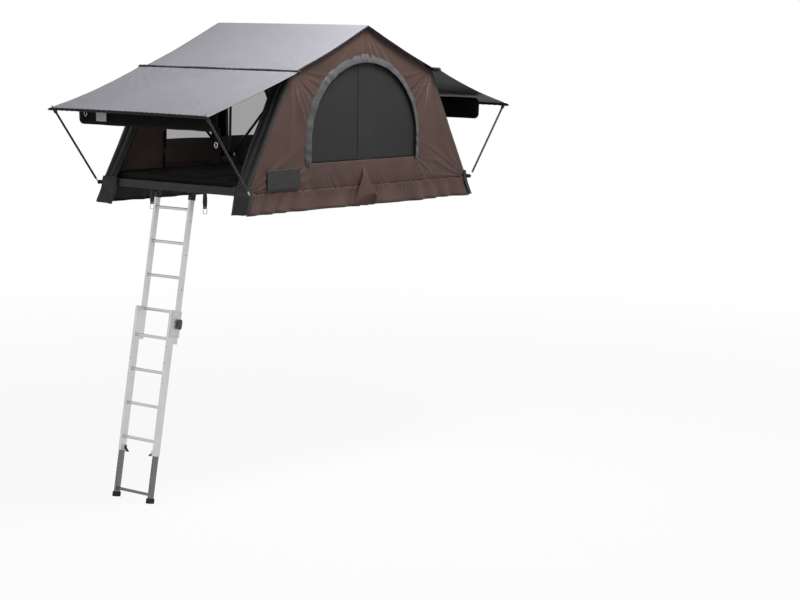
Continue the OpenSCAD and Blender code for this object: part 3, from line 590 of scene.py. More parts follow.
def gable_half(half, side, end_name, end, seed):
    inner, outer = window_outline(*OUTLINE_STEPS), gable_outline(*OUTLINE_STEPS)
    share = np.linspace(0, 1, GABLE_ROWS)[None, :, None]
    flat = inner[:, None, :] * (1 - share) + outer[:, None, :] * share
    a, z = flat[..., 0], flat[..., 1]
    hold = unit(a / 0.012) * (0.25 + 0.75 * np.sin(math.pi * share[..., 0] ** 0.8) ** 0.5)
    lift = canvas_creases(a, z, seed) * hold + 0.004 * np.sin(math.pi * share[..., 0])
    lift += 0.0016 * hump(a, 0.006)
    name = f"gable_{end_name}_{half}"
    points = in_gable(flat, lift, side, end)
    seams[half].append(points[sum(OUTLINE_STEPS[:2]) + 1:-6, -2] + (0, end * 0.0008, 0))
    made = cloth(name + "_canvas", points, CANVAS_THICK, [brown_canvas, brown_inside_painted_light], (0, end, 0))
    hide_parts(name)
    on_base(made, half)


for half, side, end_name, end in QUARTERS:
    gable_half(half, side, end_name, end, 11 + 7 * side + 3 * end)

# Windows: fine black insect mesh sewn into each arch, with a doubled band between
# two seams down the middle. The front one is opaque and dark, painted shade for
# the inside seen through it; the rear one is open.
MESH_PITCH = 0.0022
BAND_HALVES = {("front", "outer"): 0.066, ("front", "inner"): 0.108,
               ("rear", "outer"): 0.108, ("rear", "inner"): 0.072}


def insect_mesh(name, cover):
    shade = Shade(name)
    u, v = shade.cut()[1:]
    hole_u = ((u / MESH_PITCH).part() - 0.5).size()
    hole_v = ((v / MESH_PITCH).part() - 0.5).size()
    thread = 1 - (1 - (hole_u > 0.30)) * (1 - (hole_v > 0.30))
    cloud = shade.noise(5.0, 3.0, 0.6)
    tone = cloud * 0.6 + thread * 0.4
    return shade.finish(
        Base_Color=shade.ramp(tone, [(0.25, (0.012, 0.012, 0.013)), (0.8, (0.022, 0.022, 0.023))]),
        Roughness=0.6 + 0.2 * cloud, Alpha=thread * (1 - cover) * 0.2 + cover, Specular_IOR_Level=0.2,
        Normal=shade.bump(hole_u + hole_v, 0.0004, 0.4))


# The front window's mesh is solid: painted shade of the tent's inside behind it.
front_mesh_painted_shade = insect_mesh("black_mesh_painted_shade", 1.0)
open_mesh = insect_mesh("black_mesh_open", 0.33)
mesh_band = woven("mesh_band", (0.013, 0.013, 0.013), (0.025, 0.025, 0.026), 0.0014, 0.7)


def window_half(half, side, end_name, end, seed):
    outline = window_outline(*OUTLINE_STEPS)
    middle = np.array([0.0, 0.50])
    share = np.linspace(0.002, 1.012, 16)[None, :, None]
    flat = middle * (1 - share) + outline[:, None, :] * share
    belly = -0.0035 + 0.0015 * smooth_noise(flat[..., 0], flat[..., 1], 8, seed) * (1 - share[..., 0])
    made = cloth(f"window_{end_name}_{half}", in_gable(flat, belly, side, end), 0.0006,
                 [front_mesh_painted_shade if end < 0 else open_mesh], (0, end, 0))
    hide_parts("window_mesh_" + half)
    on_base(made, half)
    half_band = BAND_HALVES[end_name, half]
    u = np.linspace(-0.006 if side < 0 else 0.0, half_band, 12)
    top = WINDOW_SPRING + WINDOW_RISE * np.sqrt(1 - (u / WINDOW_HALF) ** 2) + 0.004
    v = np.linspace(0, 1, 60)
    foot = WINDOW_SILL - 0.004
    band = np.stack(np.broadcast_arrays(u[:, None], foot + (top - foot)[:, None] * v), -1)
    seam = 0.0022 * hump(u - half_band + 0.004, 0.0025)[:, None]
    strip = cloth(f"window_band_{end_name}_{half}",
                  in_gable(band, -0.0015 - 0.0003 * side + seam + 0 * v, side, end),
                  0.0008, [mesh_band], (0, end, 0))
    on_base(strip, half)


for half, side, end_name, end in QUARTERS:
    window_half(half, side, end_name, end, 31 + 5 * side + 2 * end)

# Lowered panel: the rear window's inside panel, unzipped and let down so that it
# covers the foot of the mesh, with its black zip tape hanging at the jamb.
# The panel's brown is painted lighter than the canvas outside: painted light for the shade inside the tent.
panel_cloth_painted_light = woven("panel_cloth_painted_light", (0.150, 0.118, 0.109), (0.250, 0.197, 0.182), 0.0010, 0.7)
zip_tape = woven("zip_tape", (0.004, 0.004, 0.004), (0.009, 0.009, 0.009), 0.0013, 0.6)
PANEL_TOP = 0.342
PANEL_LOW = 0.160
TAPE_WIDTH = 0.026
TAPE_LENGTH = 0.275


def shares(along, across):
    """Shares from 0 to 1 along and across a grid."""
    return np.linspace(0, 1, along)[:, None], np.linspace(0, 1, across)[None, :]


def lowered_panel(half, side, seed):
    u, v = shares(90, 30)
    a = (WINDOW_HALF + 0.030) * u + 0 * v
    z = PANEL_TOP - 0.006 * np.sin(5 * a + seed) + (PANEL_LOW - PANEL_TOP) * v
    fold = np.abs(np.sin(17 * a + 4 * np.sin(3 * a + seed) + 2.6 * v)) ** 1.5
    lift = -0.0075 - 0.009 * fold * np.sin(math.pi * unit(v * 0.9 + 0.1))
    made = cloth(f"lowered_panel_{half}", in_gable(np.stack([a, z], -1), lift, side, 1), 0.0010,
                 [panel_cloth_painted_light], (0, -1, 0))
    u, v = shares(6, 30)
    z = 0.405 - TAPE_LENGTH * v + 0 * u
    tape = np.stack([WINDOW_HALF + 0.021 + TAPE_WIDTH * u + 0.006 * np.sin(9 * v), z], -1)
    strip = cloth(f"zip_tape_{half}", in_gable(tape, -0.016 - 0.004 * np.sin(7 * v) + 0 * u, side, 1),
                  0.0012, [zip_tape], (0, -1, 0))
    on_base(made, half)
    on_base(strip, half)


for half, side in HALVES:
    lowered_panel(half, side, 41 + side)

# Storm bands: a flap of grey coated cloth round each arch, gathered along its outer
# seam and standing off the window on a black edge, whose black also paints the
# shadow under the raised flap.
HOOD_WIDTH = 0.054
HOOD_LIFT = 0.015
HOOD_THICK = 0.0016
grey_trim = woven("grey_trim", (0.042, 0.0415, 0.044), (0.096, 0.095, 0.099), 0.0012, 0.40,
                  shine=0.25, fade=16.0)


def hood_half(half, side, end_name, end, seed):
    outline = window_outline(150, 150, 2)[:-3]
    tail = line((WINDOW_HALF, WINDOW_SILL), (WINDOW_HALF + 0.004, WINDOW_SILL - 0.026), 10)[1:]
    path = np.concatenate([outline, tail])
    run = np.gradient(path, axis=0)
    away = np.stack([-run[:, 1], run[:, 0]], 1)
    away /= np.linalg.norm(away, axis=1, keepdims=True)
    length = run_lengths(path, 0)
    q = np.linspace(0, 1, 14)
    pucker = np.sin(length / 0.0165 + 2.2 * np.sin(length / 0.07))
    pucker = pucker * (0.6 + 0.4 * np.sin(length / 0.05 + seed))
    width = HOOD_WIDTH * (1 + 0.05 * np.sin(length / 0.03)) * (1.12 - 0.24 * length / length[-1])
    width = width * (1 - 0.4 * unit((length - length[-1] + 0.022) / 0.022) ** 2)
    flat = path[:, None, :] + away[:, None, :] * (width[:, None] * q)[..., None]
    lift = 0.004 + HOOD_LIFT * (1 - q) ** 1.2 + 0.0042 * np.sin(math.pi * q) + 0 * length[:, None]
    lift = lift + 0.0040 * pucker[:, None] * (0.35 + 0.65 * np.sin(math.pi * unit(q * 0.9 + 0.1)))
    lift = lift * (1 - 0.55 * unit((length - length[-1] + 0.05) / 0.05))[:, None]
    points = in_gable(flat, lift, side, end)
    seams[half].append(points[:, -2] + (0, end * 0.0010, 0))
    made = cloth(f"storm_band_{end_name}_{half}", points, HOOD_THICK, [grey_trim], (0, end, 0))
    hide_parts("storm_band_" + half)
    on_base(made, half)
    rise = np.linspace(0, 1, 5)
    lip = path[:, None, :] + away[:, None, :] * (0.001 * rise)[None, :, None]
    # The black edge closes the gap under the flap's lifted side, and its black is painted shadow there.
    edge = cloth(f"storm_edge_{end_name}_{half}",
                 in_gable(lip, -0.003 + (lift[:, :1] + 0.003) * rise, side, end),
                 HOOD_THICK, [zip_tape], (side, 0, 0))
    on_base(edge, half)


for half, side, end_name, end in QUARTERS:
    hood_half(half, side, end_name, end, 3 + side + 2 * end)

# Skirts: brown canvas sewn on below the gables and drawn up along the seam, so that it
# falls in slanting gathers over the base.
SKIRT_LOW = -0.085
PLEAT_TOP = 0.200
PLEAT_LOW = -0.079
PLEAT_HALF = 0.125
# The skirts' inner side is a far darker copy of the canvas: painted shade for the shadow inside the skirt.
skirt_inside_painted_shade = woven("skirt_inside_painted_shade", (0.010, 0.008, 0.007), (0.022, 0.017, 0.016), 0.0010, 0.7)


def bent(value, power):
    return np.sign(value) * np.abs(value) ** power


def pleat_half(z):
    return 0.018 + (PLEAT_HALF - 0.018) * (PLEAT_TOP - z) / (PLEAT_TOP - PLEAT_LOW)


def skirt_half(half, side, end_name, end, seed):
    rng = np.random.default_rng(seed)
    u, v = shares(260, 30)
    z = SEAM_Z + 0.004 + (SKIRT_LOW - SEAM_Z - 0.004) * v + 0 * u
    far = HALF_LENGTH - 0.002 + 0.050 * v ** 1.2
    near = pleat_half(z) - 0.060
    a = near + (far - near) * u
    flat = np.stack([a, z], -1)
    lean = a + (0.45 + 0.5 * math.sin(seed)) * (z - SEAM_Z) + 0.05 * smooth_noise(a, z, 5, seed + 3)
    fold = np.sin(27 * lean + 2.6 * np.sin(6.1 * lean + rng.uniform(0, 6)))
    fold = bent(fold, 0.8)
    tuck = np.abs(np.sin(46 * lean + 2.0 * np.sin(17 * lean + seed))) ** 1.4
    swell = v * (0.6 + 0.4 * v)
    lift = -0.0012 + 0.026 * swell + 0.0125 * fold * swell
    lift = lift + 0.0070 * tuck * hump(v - 0.10, 0.22)
    lift = lift + 0.0060 * smooth_noise(a, z * 3.0, 10, seed) * v
    lift = lift * unit(v / 0.05) - 0.004 * unit(1 - v / 0.06)
    lift = lift - 0.013 * unit((v - 0.84) / 0.16) ** 2
    flat[..., 1] += 0.006 * smooth_noise(a, 0 * z, 9, seed + 1) * v
    points = in_gable(flat, lift, side, end)
    seams[half].append(points[:, 2] + (0, end * 0.0009, 0))
    made = cloth(f"skirt_{end_name}_{half}", points, CANVAS_THICK, [brown_canvas, skirt_inside_painted_shade], (0, end, 0))
    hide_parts("skirt_" + half)
    on_base(made, half)


for half, side, end_name, end in QUARTERS:
    skirt_half(half, side, end_name, end, 51 + 5 * side + 2 * end)

# Centre pleats: a gusset of the same canvas over the hinge at each end, pointed at
# the top and folded to a ridge, which lets the skirt open when the base folds.
PLEAT_BULGE = 0.086


def centre_pleat(end_name, end, seed):
    u = np.linspace(-1, 1, 81)[:, None]
    v = np.linspace(0, 1, 70)[None, :]
    z = PLEAT_TOP + (PLEAT_LOW - PLEAT_TOP) * v + 0 * u
    half_width = pleat_half(z) - 0.014 * (1 - v)
    ridge = 0.22 + 0.30 * v
    rise = np.where(u < ridge, (u + 1) / (ridge + 1), (1 - u) / (1 - ridge))
    rise = 1.02 - np.sqrt((1 - rise) ** 2 + 0.0012)
    a = u * half_width
    foot = unit((v - 0.72) / 0.28)
    flat = np.stack([a, z + 0.026 * unit(u) ** 1.5 * foot - 0.010 * rise * foot], -1)
    crease = 0.010 * hump(u - 0.70 + 0.25 * v, 0.07)
    crease = crease - 0.012 * hump(u - 0.55 + 0.30 * v, 0.09)
    step = 0.020 * unit(v / 0.25) * unit(1 - (u + 1) / 1.1)
    bulge = PLEAT_BULGE * rise * unit(v / 0.72) ** 0.9 * (1 - 0.45 * foot ** 2)
    lift = 0.0035 + step + bulge + crease * v
    lift = lift + 0.004 * smooth_noise(a, z, 34, seed) * v
    made = cloth(f"centre_pleat_{end_name}", in_gable(flat, lift, 1, end), CANVAS_THICK,
                 [brown_canvas, brown_inside_painted_light], (0, end, 0))
    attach(made, "inner_base")
    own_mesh(made)
    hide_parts("centre_pleats")


for end_name, end in ENDS:
    centre_pleat(end_name, end, 71 + end)

# Door borders: the black side cloth of each door, gathered against the slanted
# corner in long padded folds from the platform to the eave.
BORDER_WIDTH = 0.126
black_cloth = woven("black_cloth", (0.015, 0.015, 0.016), (0.032, 0.032, 0.034), 0.0011, 0.46,
                    shine=0.22, fade=9.0)


def tube(name, rings, materials, loop=False):
    """A closed loft through rings of points, with capped ends or run into a loop."""
    rings = np.asarray(rings, float)
    n, m = rings.shape[:2]
    index = np.arange(n * m).reshape(n, m)
    beside = np.roll(index, -1, axis=1)
    sides = np.stack([index, beside, np.roll(beside, -1, axis=0), np.roll(index, -1, axis=0)], 2)
    faces = (sides if loop else sides[:-1]).reshape(-1, 4).tolist()
    vertices = rings.reshape(-1, 3)
    uv = cut_of(rings, rings.mean(1))
    if not loop:
        caps = []
        for end, order in ((0, index[0]), (n - 1, index[-1])):
            caps.append(rings[end].mean(0))
            middle = n * m + len(caps) - 1
            faces += [[int(order[k]), int(order[(k + 1) % m]), middle] for k in range(m)]
        vertices = np.concatenate([vertices, caps])
        uv = np.concatenate([uv, [uv[0], uv[-1]]])
    return add_object(name, vertices, faces, materials, uv)


def door_border(half, side, end_name, end, seed):
    rng = np.random.default_rng(seed)
    foot = np.array([HALF_LENGTH - 0.004, PLATFORM_Z + 0.006])
    head = np.array([EAVE_X + 0.006, EAVE_Z - 0.022])
    run = (head - foot) / np.linalg.norm(head - foot)
    out = np.array([run[1], -run[0]])
    count = 72
    t = np.linspace(0, 1, 120)
    width = BORDER_WIDTH * (0.92 + 0.16 * unit(t / 0.35)
                            - 0.36 * unit((t - 0.80) / 0.20) ** 1.5)
    drift = rng.uniform(0, 6)
    rings = []
    for k, s in enumerate(t):
        d = np.linspace(0, 1, count // 2)
        wave = np.abs(np.sin(math.pi * (2.4 * d + 0.10 * math.sin(4 * s + drift)))) ** 0.75
        thin = np.abs(np.sin(math.pi * (6.1 * d + 0.4 * math.sin(3 * s + drift))))
        face = 0.004 + 0.014 * wave + 0.0035 * thin * (0.3 + 0.7 * math.sin(2.2 * s + drift) ** 2)
        face *= np.clip(np.minimum(d, 1 - d) / 0.05, 0.15, 1) ** 0.5
        face += 0.003 * math.sin(9 * s + drift) * d
        rear = np.full(count // 2, -0.007) * np.clip(np.minimum(d, 1 - d) / 0.04, 0.1, 1)
        depth = np.concatenate([d, d[::-1]]) * width[k]
        reach = np.concatenate([face, rear[::-1]])
        middle = foot + run * np.linalg.norm(head - foot) * s
        a = middle[0] + out[0] * reach
        z = middle[1] + out[1] * reach
        rings.append(from_fold(side, a, end * (WALL_Y + 0.0005 - depth), z))
    made = tube(f"door_border_{end_name}_{half}", rings, [black_cloth])
    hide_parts("door_border_" + half)
    on_base(made, half)


for half, side, end_name, end in QUARTERS:
    door_border(half, side, end_name, end, 81 + 5 * side + 2 * end)

# Corner boots: thick black coated cloth sewn round each corner of the base below
# the borders, flared at the foot.
BOOT_DEPTH = 0.150
BOOT_THICK = 0.022


def full_turn(count):
    return np.linspace(0, 2 * math.pi, count, endpoint=False)


def corner_boot(half, side, end_name, end, seed):
    turn = full_turn(80)
    c, d = np.cos(turn), np.sin(turn)
    low_box, high_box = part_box("corner_boots_" + half)
    top, low = high_box.z, low_box.z
    reach = max(abs(low_box.x - FOLD_X), abs(high_box.x - FOLD_X)) - HALF_LENGTH - BOOT_THICK
    rings = []
    for s in np.linspace(0, 1, 46):
        z = top + (low - top) * s
        flare = reach * unit((s - 0.36) / 0.64) ** 1.15
        thick = BOOT_THICK / 2 * (1 + 0.08 * math.sin(6 * s + seed)) * min(1.0, 0.55 + 6 * s)
        depth = BOOT_DEPTH / 2 * (0.96 + 0.06 * s)
        bx, by = bent(c, 0.45), bent(d, 0.30)
        crease = 0.0022 * np.sin(5 * turn + 9 * s + seed) * np.sin(math.pi * s)
        a = HALF_LENGTH + 0.001 + BOOT_THICK / 2 + flare + (thick + crease) * bx
        b = WALL_Y + 0.010 + 0.026 * s - BOOT_DEPTH / 2 + depth * by
        a = a - 0.024 * unit((by - 0.80) / 0.20) * unit(-bx + 0.5)
        rings.append(from_fold(side, a, end * b, z + 0.006 * s * d))
    made = tube(f"corner_boot_{end_name}_{half}", rings, [black_cloth])
    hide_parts("corner_boots_" + half)
    on_base(made, half)


for half, side, end_name, end in QUARTERS:
    corner_boot(half, side, end_name, end, 91 + 5 * side + 2 * end)

# Bare patch: a plain dark rectangle of coarse woven cloth, sewn low on the front gable
# along all its edges.
patch_cloth = woven("patch_cloth", (0.012, 0.012, 0.013), (0.026, 0.026, 0.027), 0.0016, 0.6,
                    shine=0.3, fade=12.0)
patch_low, patch_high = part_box("bare_patch")
patch_u = np.linspace(FOLD_X - patch_high.x, FOLD_X - patch_low.x, 70)[:, None]
patch_v = np.linspace(patch_low.z, patch_high.z, 28)[None, :]
patch_flat = np.stack(np.broadcast_arrays(patch_u, patch_v), -1)
patch_edge = np.minimum(np.minimum(patch_u - patch_u.min(), patch_u.max() - patch_u),
                        np.minimum(patch_v - patch_v.min(), patch_v.max() - patch_v))
patch_lift = 0.0145 + 0.0012 * unit(patch_edge / 0.006) + 0.0016 * smooth_noise(
    patch_flat[..., 0], patch_flat[..., 1], 20, 4)
patch = cloth("bare_patch_cloth", in_gable(patch_flat, patch_lift, -1, -1), 0.0014, [patch_cloth], (0, -1, 0))
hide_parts("bare_patch")
on_base(patch, "outer")
patch_grid = in_gable(patch_flat, patch_lift + 0.0011, -1, -1)
seams["outer"].append(np.concatenate([patch_grid[1:-1, 1], patch_grid[-2, 1:-1],
                                      patch_grid[-2:0:-1, -2], patch_grid[1, -2:0:-1]]))

# Sewing of the gables: lock stitches along the storm bands, the lower seams and the
# patch, in thread of the cloth's own colour.
FACES_ALONG_Y = (0, 1, 0)
STITCH_SIZES = {"Pitch": 0.0064, "Length": 0.0046, "Width": 0.0011}


class Layout(Nodes):
    """A tree of geometry nodes that sets one small form on each point it is given."""

    def __init__(self, name, sizes):
        self.tree = bpy.data.node_groups.new(name, "GeometryNodeTree")
        face = self.tree.interface
        face.new_socket("Geometry", in_out="INPUT", socket_type="NodeSocketGeometry")
        for size in sizes:
            face.new_socket(size, in_out="INPUT", socket_type="NodeSocketFloat")
        face.new_socket("Geometry", in_out="OUTPUT", socket_type="NodeSocketGeometry")
        self.given = self.add("NodeGroupInput", {}, {})

    def close(self, points, form, along, scale, material):
        face = self.add("GeometryNodeInputNamedAttribute", {"data_type": "FLOAT_VECTOR"}, {"Name": "face"})
        turn = self.add("FunctionNodeAxesToRotation", {"primary_axis": "Z", "secondary_axis": "X"}, {
            "Primary Axis": face["Attribute"], "Secondary Axis": along})["Rotation"]
        spread = self.add("GeometryNodeInstanceOnPoints", {}, {
            "Points": points, "Instance": form, "Rotation": turn, "Scale": scale})["Instances"]
        solid = self.add("GeometryNodeRealizeInstances", {}, {"Geometry": spread})["Geometry"]
        done = self.add("GeometryNodeSetMaterial", {}, {"Geometry": solid, "Material": material})["Geometry"]
        self.add("NodeGroupOutput", {}, {"Geometry": done})

    def grow(self, name, rows, faces, sizes, material):
        """One mesh from rows of points, each row with the direction its forms face."""
        start = np.cumsum([0] + [len(row) for row in rows])
        edges = [(k, k + 1) for a, b in zip(start, start[1:]) for k in range(a, b - 1)]
        mesh = bpy.data.meshes.new(name)
        mesh.from_pydata([tuple(p) for row in rows for p in row], edges, [])
        facing = np.concatenate([np.tile(np.asarray(face, np.float32), (len(row), 1))
                                 for row, face in zip(rows, faces)])
        mesh.attributes.new("face", "FLOAT_VECTOR", "POINT").data.foreach_set("vector", facing.ravel())
        made = bpy.data.objects.new(name, mesh)
        bpy.context.scene.collection.objects.link(made)
        modifier = made.modifiers.new(name, "NODES")
        modifier.node_group = self.tree
        for item in self.tree.interface.items_tree:
            if item.name in sizes:
                modifier[item.identifier] = sizes[item.name]
        bpy.context.view_layer.update()
        grown = bpy.data.meshes.new_from_object(made.evaluated_get(bpy.context.evaluated_depsgraph_get()))
        made.modifiers.clear()
        made.data = grown
        grown.materials.clear()
        grown.materials.append(material)
        return made


def sewing_thread(name, dark, pale):
    shade = Shade(name)
    tone = shade.noise(300.0)
    return shade.finish(Base_Color=shade.ramp(tone, [(0.3, dark), (0.7, pale)]), Roughness=0.5 + 0.2 * tone)


def sewing(name, thread):
    layout = Layout(name, ("Pitch", "Length", "Width"))
    run = layout.add("GeometryNodeMeshToCurve", {}, {"Mesh": layout.given["Geometry"]})["Curve"]
    even = layout.add("GeometryNodeResampleCurve", {"mode": "LENGTH"}, {
        "Curve": run, "Length": layout.given["Pitch"]})["Curve"]
    bead = layout.add("GeometryNodeMeshUVSphere", {}, {"Segments": 6, "Rings": 3, "Radius": 0.5})["Mesh"]
    along = layout.add("GeometryNodeInputTangent", {}, {})["Tangent"]
    scale = layout.add("ShaderNodeCombineXYZ", {}, {
        "X": layout.given["Length"], "Y": layout.given["Width"], "Z": layout.given["Width"]})["Vector"]
    layout.close(even, bead, along, scale, thread)
    return layout


dark_thread = sewing_thread("dark_thread", (0.030, 0.022, 0.020), (0.055, 0.042, 0.038))
gable_sewing = sewing("gable_sewing", dark_thread)
for half, rows in seams.items():
    stitches = gable_sewing.grow(f"gable_stitches_{half}", rows, [FACES_ALONG_Y] * len(rows), STITCH_SIZES,
                                 dark_thread)
    on_base(stitches, half)


# Rain fly: grey coated cloth, black underneath, from the ridge down to each eave,
# laid over the bows and bound in black along the gables.
def slope(run):
    """The length of a slope, and the directions along it and off it."""
    length = float(np.linalg.norm(run))
    along = np.array(run) / length
    return length, along, np.array([-along[1], along[0]])


FLY_LENGTH, FLY_ALONG, FLY_UP = slope((EAVE_X, EAVE_Z - RIDGE_Z))
FLY_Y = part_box("fly_outer")[1].y
FLY_THICK = 0.0022
fly_cloth = woven("fly_cloth", (0.222, 0.219, 0.244), (0.283, 0.279, 0.311), 0.0009, 0.55,
                  shine=0.12, fade=1.6)
fly_under = woven("fly_under", (0.006, 0.006, 0.007), (0.014, 0.014, 0.016), 0.0009, 0.5)
grey_thread = sewing_thread("grey_thread", (0.15, 0.15, 0.165), (0.22, 0.22, 0.24))
cloth_sewing = sewing("cloth_sewing", grey_thread)
binding = woven("black_binding", (0.006, 0.006, 0.007), (0.014, 0.014, 0.015), 0.0013, 0.6)


def corner_pull(u, v, length, width, at_u, at_v, seed, height, count=7, reach=0.22):
    """Creases from one corner of a sheet, with u and v in shares of its length and width."""
    x = u * length if at_u == 0 else (1 - u) * length
    y = v * width if at_v == 0 else (1 - v) * width
    turns = np.linspace(8, 82, count) + np.random.default_rng(seed).uniform(-5, 5, count)
    return fan(x + 0 * y, y + 0 * x, (0.0, 0.0), turns, reach, height, seed + 40)


def on_bow(piece, half, side, gather):
    """A piece that rides on an eave bow, with a mesh of its own; the gather line has no effect."""
    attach(piece, f"eave_bow_{half}_body")
    FOLD_X + side * gather[0]
    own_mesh(piece)


def fly_half(half, side, seed):
    u, v = shares(90, 150)
    sag = FLY_SAG * np.sin(math.pi * u) * (1 - 0.25 * (2 * v - 1) ** 2)
    x, y = u * FLY_LENGTH, v * 2 * FLY_Y
    ripple = 0.0030 * smooth_noise(x * 2.0, y * 0.8, 6, seed) + 0.0006 * smooth_noise(x, y, 26, seed + 1)
    ripple = ripple + corner_pull(u, v, FLY_LENGTH, 2 * FLY_Y, 1, 0, seed + 2, 0.0016)
    ripple = ripple + corner_pull(u, v, FLY_LENGTH, 2 * FLY_Y, 1, 1, seed + 3, 0.0016)
    ripple = ripple * unit(u / 0.04) * unit((1 - u) / 0.04)
    edge = np.minimum(v, 1 - v) * 2 * FLY_Y
    droop = 0.006 * np.exp(-edge / 0.02)
    off = 0.0012 - sag + ripple - droop + 0 * u
    a = (0.0006 + u * (FLY_LENGTH - 0.0006)) * FLY_ALONG[0] + off * FLY_UP[0]
    z = RIDGE_Z + u * FLY_LENGTH * FLY_ALONG[1] + off * FLY_UP[1]
    points = from_fold(side, a, -FLY_Y + 2 * FLY_Y * v, z)
    over = 0.0014 * np.array([side * FLY_UP[0], 0, FLY_UP[1]])
    fly_rows = [points[2:-2, 1] + over, points[2:-2, -2] + over]
    made = cloth(f"fly_{half}_cloth", points, FLY_THICK, [fly_cloth, fly_under, binding],
                 (side * 0.2, 0, 1), rim=2, bound=True)
    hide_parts("fly_" + half)
    stitches = cloth_sewing.grow(f"fly_stitches_{half}", fly_rows, [over, over], STITCH_SIZES, grey_thread)
    for piece in (made, stitches):
        on_bow(piece, half, side, (EAVE_X, EAVE_Z))


for half, side in HALVES:
    fly_half(half, side, 101 + side)

# Eave hems: a padded black sleeve along each eave, sewn between fly and awning,
# with its ends standing out past the cloth.
hem_low, hem_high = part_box("eave_hem_outer")
HEM_X = FOLD_X - (hem_low.x + hem_high.x) / 2
HEM_Z = (hem_low.z + hem_high.z) / 2
HEM_RADIUS = 0.012
HEM_HALF = hem_high.y
BOW_BAR = (0.7458, 0.8812)


def eave_hem(half, side, seed):
    turn = full_turn(20)
    rings = []
    for y in np.linspace(-HEM_HALF, HEM_HALF, 220):
        end_gap = HEM_HALF - abs(y)
        taper = math.sqrt(min(1.0, 0.25 + end_gap / 0.012))
        radius = HEM_RADIUS * taper * (1 + 0.05 * math.sin(y * 95 + 2 * math.sin(y * 23 + seed)))
        a = HEM_X + radius * np.cos(turn)
        z = HEM_Z - 0.002 + radius * np.sin(turn) * 1.22 - 0.0012 * math.sin(y * 11 + seed)
        rings.append(from_fold(side, a, y, z))
    made = tube(f"eave_hem_{half}_sleeve", rings, [black_cloth])
    on_bow(made, half, side, BOW_BAR)
    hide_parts("eave_hem_" + half)


for half, side in HALVES:
    eave_hem(half, side, 111 + side)

# Awnings: the same grey cloth, black underneath, held out over each door by two
# rods through eyelets in its front corners, with a gathered black front edge.
AWNING_LENGTH, AWNING_ALONG, AWNING_UP = slope((0.880, -0.276))
AWNING_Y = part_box("awning_outer")[1].y
AWNING_TOP = np.array([HEM_X, HEM_Z]) + (HEM_RADIUS + 0.0003) * AWNING_ALONG
AWNING_SAG = 0.014


def awning_off(u, v, seed):
    """Height of the awning over the straight slope."""
    sag = AWNING_SAG * np.sin(math.pi * u) * (1 - 0.25 * (2 * v - 1) ** 2)
    x, y = u * AWNING_LENGTH, v * 2 * AWNING_Y
    ripple = 0.0042 * smooth_noise(x * 1.2, y * 0.9, 6, seed) + 0.0009 * smooth_noise(x, y, 26, seed + 1)
    for k, (at_u, at_v) in enumerate(((0, 0), (0, 1), (1, 0), (1, 1))):
        ripple = ripple + corner_pull(u, v, AWNING_LENGTH, 2 * AWNING_Y, at_u, at_v, seed + 2 + k, 0.0020)
    tucks = 0.0035 * np.exp(-x / 0.07) * np.sin(y * 52 + 3 * np.sin(y * 9 + seed)) * unit(x / 0.012)
    ripple = ripple * unit(u / 0.03) * unit((1 - u) / 0.05)
    return 0.0012 - sag + ripple + tucks


def awning(half, side, seed):
    u, v = shares(90, 150)
    off = awning_off(u, v, seed)
    edge = np.minimum(v, 1 - v) * 2 * AWNING_Y
    off = off - 0.005 * np.exp(-edge / 0.015)
    scallop = 0.010 * np.sin(math.pi * v) * u ** 6
    a = AWNING_TOP[0] + (u * AWNING_LENGTH - scallop) * AWNING_ALONG[0] + off * AWNING_UP[0]
    z = AWNING_TOP[1] + (u * AWNING_LENGTH - scallop) * AWNING_ALONG[1] + off * AWNING_UP[1]
    bow_in = 0.016 * np.sin(math.pi * u) * (1 - 2 * v)
    points = from_fold(side, a, -AWNING_Y + 2 * AWNING_Y * v + bow_in, z)
    made = cloth(f"awning_{half}_cloth", points, FLY_THICK, [fly_cloth, fly_under, binding],
                 (side * 0.2, 0, 1), rim=2)
    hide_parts("awning_" + half)
    over = 0.0014 * np.array([side * AWNING_UP[0], 0, AWNING_UP[1]])
    rows = [points[2:-2, 1] + over, points[2:-2, -2] + over, points[-2, 1:-1] + over]
    stitches = cloth_sewing.grow(f"awning_stitches_{half}", rows, [over] * 3, STITCH_SIZES, grey_thread)
    turn = full_turn(12)
    rings = []
    for y in np.linspace(-AWNING_Y, AWNING_Y, 420):
        p = np.array([np.interp(y, points[-1, :, 1], points[-1, :, axis]) for axis in range(3)])
        ruffle = math.sin(y * 310 + 2 * math.sin(y * 41)) * (0.6 + 0.4 * math.sin(y * 29 + seed))
        tall = 0.0095 * (1 + 0.10 * math.sin(y * 120 + seed)) * min(1.0, 0.4 + (AWNING_Y - abs(y)) / 0.02)
        lip = np.stack([side * (0.0050 * np.cos(turn) + 0.0022 * ruffle), 0 * turn,
                        tall * np.sin(turn) - 0.0065], 1)
        rings.append(p + lip)
    hem = tube(f"awning_{half}_front_hem", rings, [binding])
    for piece in (made, stitches, hem):
        on_bow(piece, half, side, BOW_BAR)


for half, side in HALVES:
    awning(half, side, 121 + side)

# Door rolls: the black door panel rolled flat and tied up under each awning. The one on
# the ladder side shows a plain grey tab, two steel rings and a corner hanging free.
roll_low, roll_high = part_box("door_roll_outer")
ROLL_HEIGHT = roll_high.z - roll_low.z
ROLL_THICK = 0.042
ROLL_HALF = roll_high.y
ROLL_LIES = np.array([0.839, 0.996])
ROLL_KEEP = 0.06
TAB_WIDTH = 0.104
TAB_HEIGHT = 0.080
RING_RADIUS = 0.019
RING_WIRE = 0.0026
# The roll's cloth is darker than the other black cloth: painted shade for the shadow under the awning.
roll_cloth_painted_shade = woven("roll_cloth_painted_shade", (0.0030, 0.0030, 0.0034), (0.0080, 0.0080, 0.0086), 0.0011, 0.6,
                   shine=0.05, fade=9.0)
tab_cloth = woven("tab_cloth", (0.62, 0.62, 0.61), (0.74, 0.74, 0.73), 0.0010, 0.6, fade=20.0)


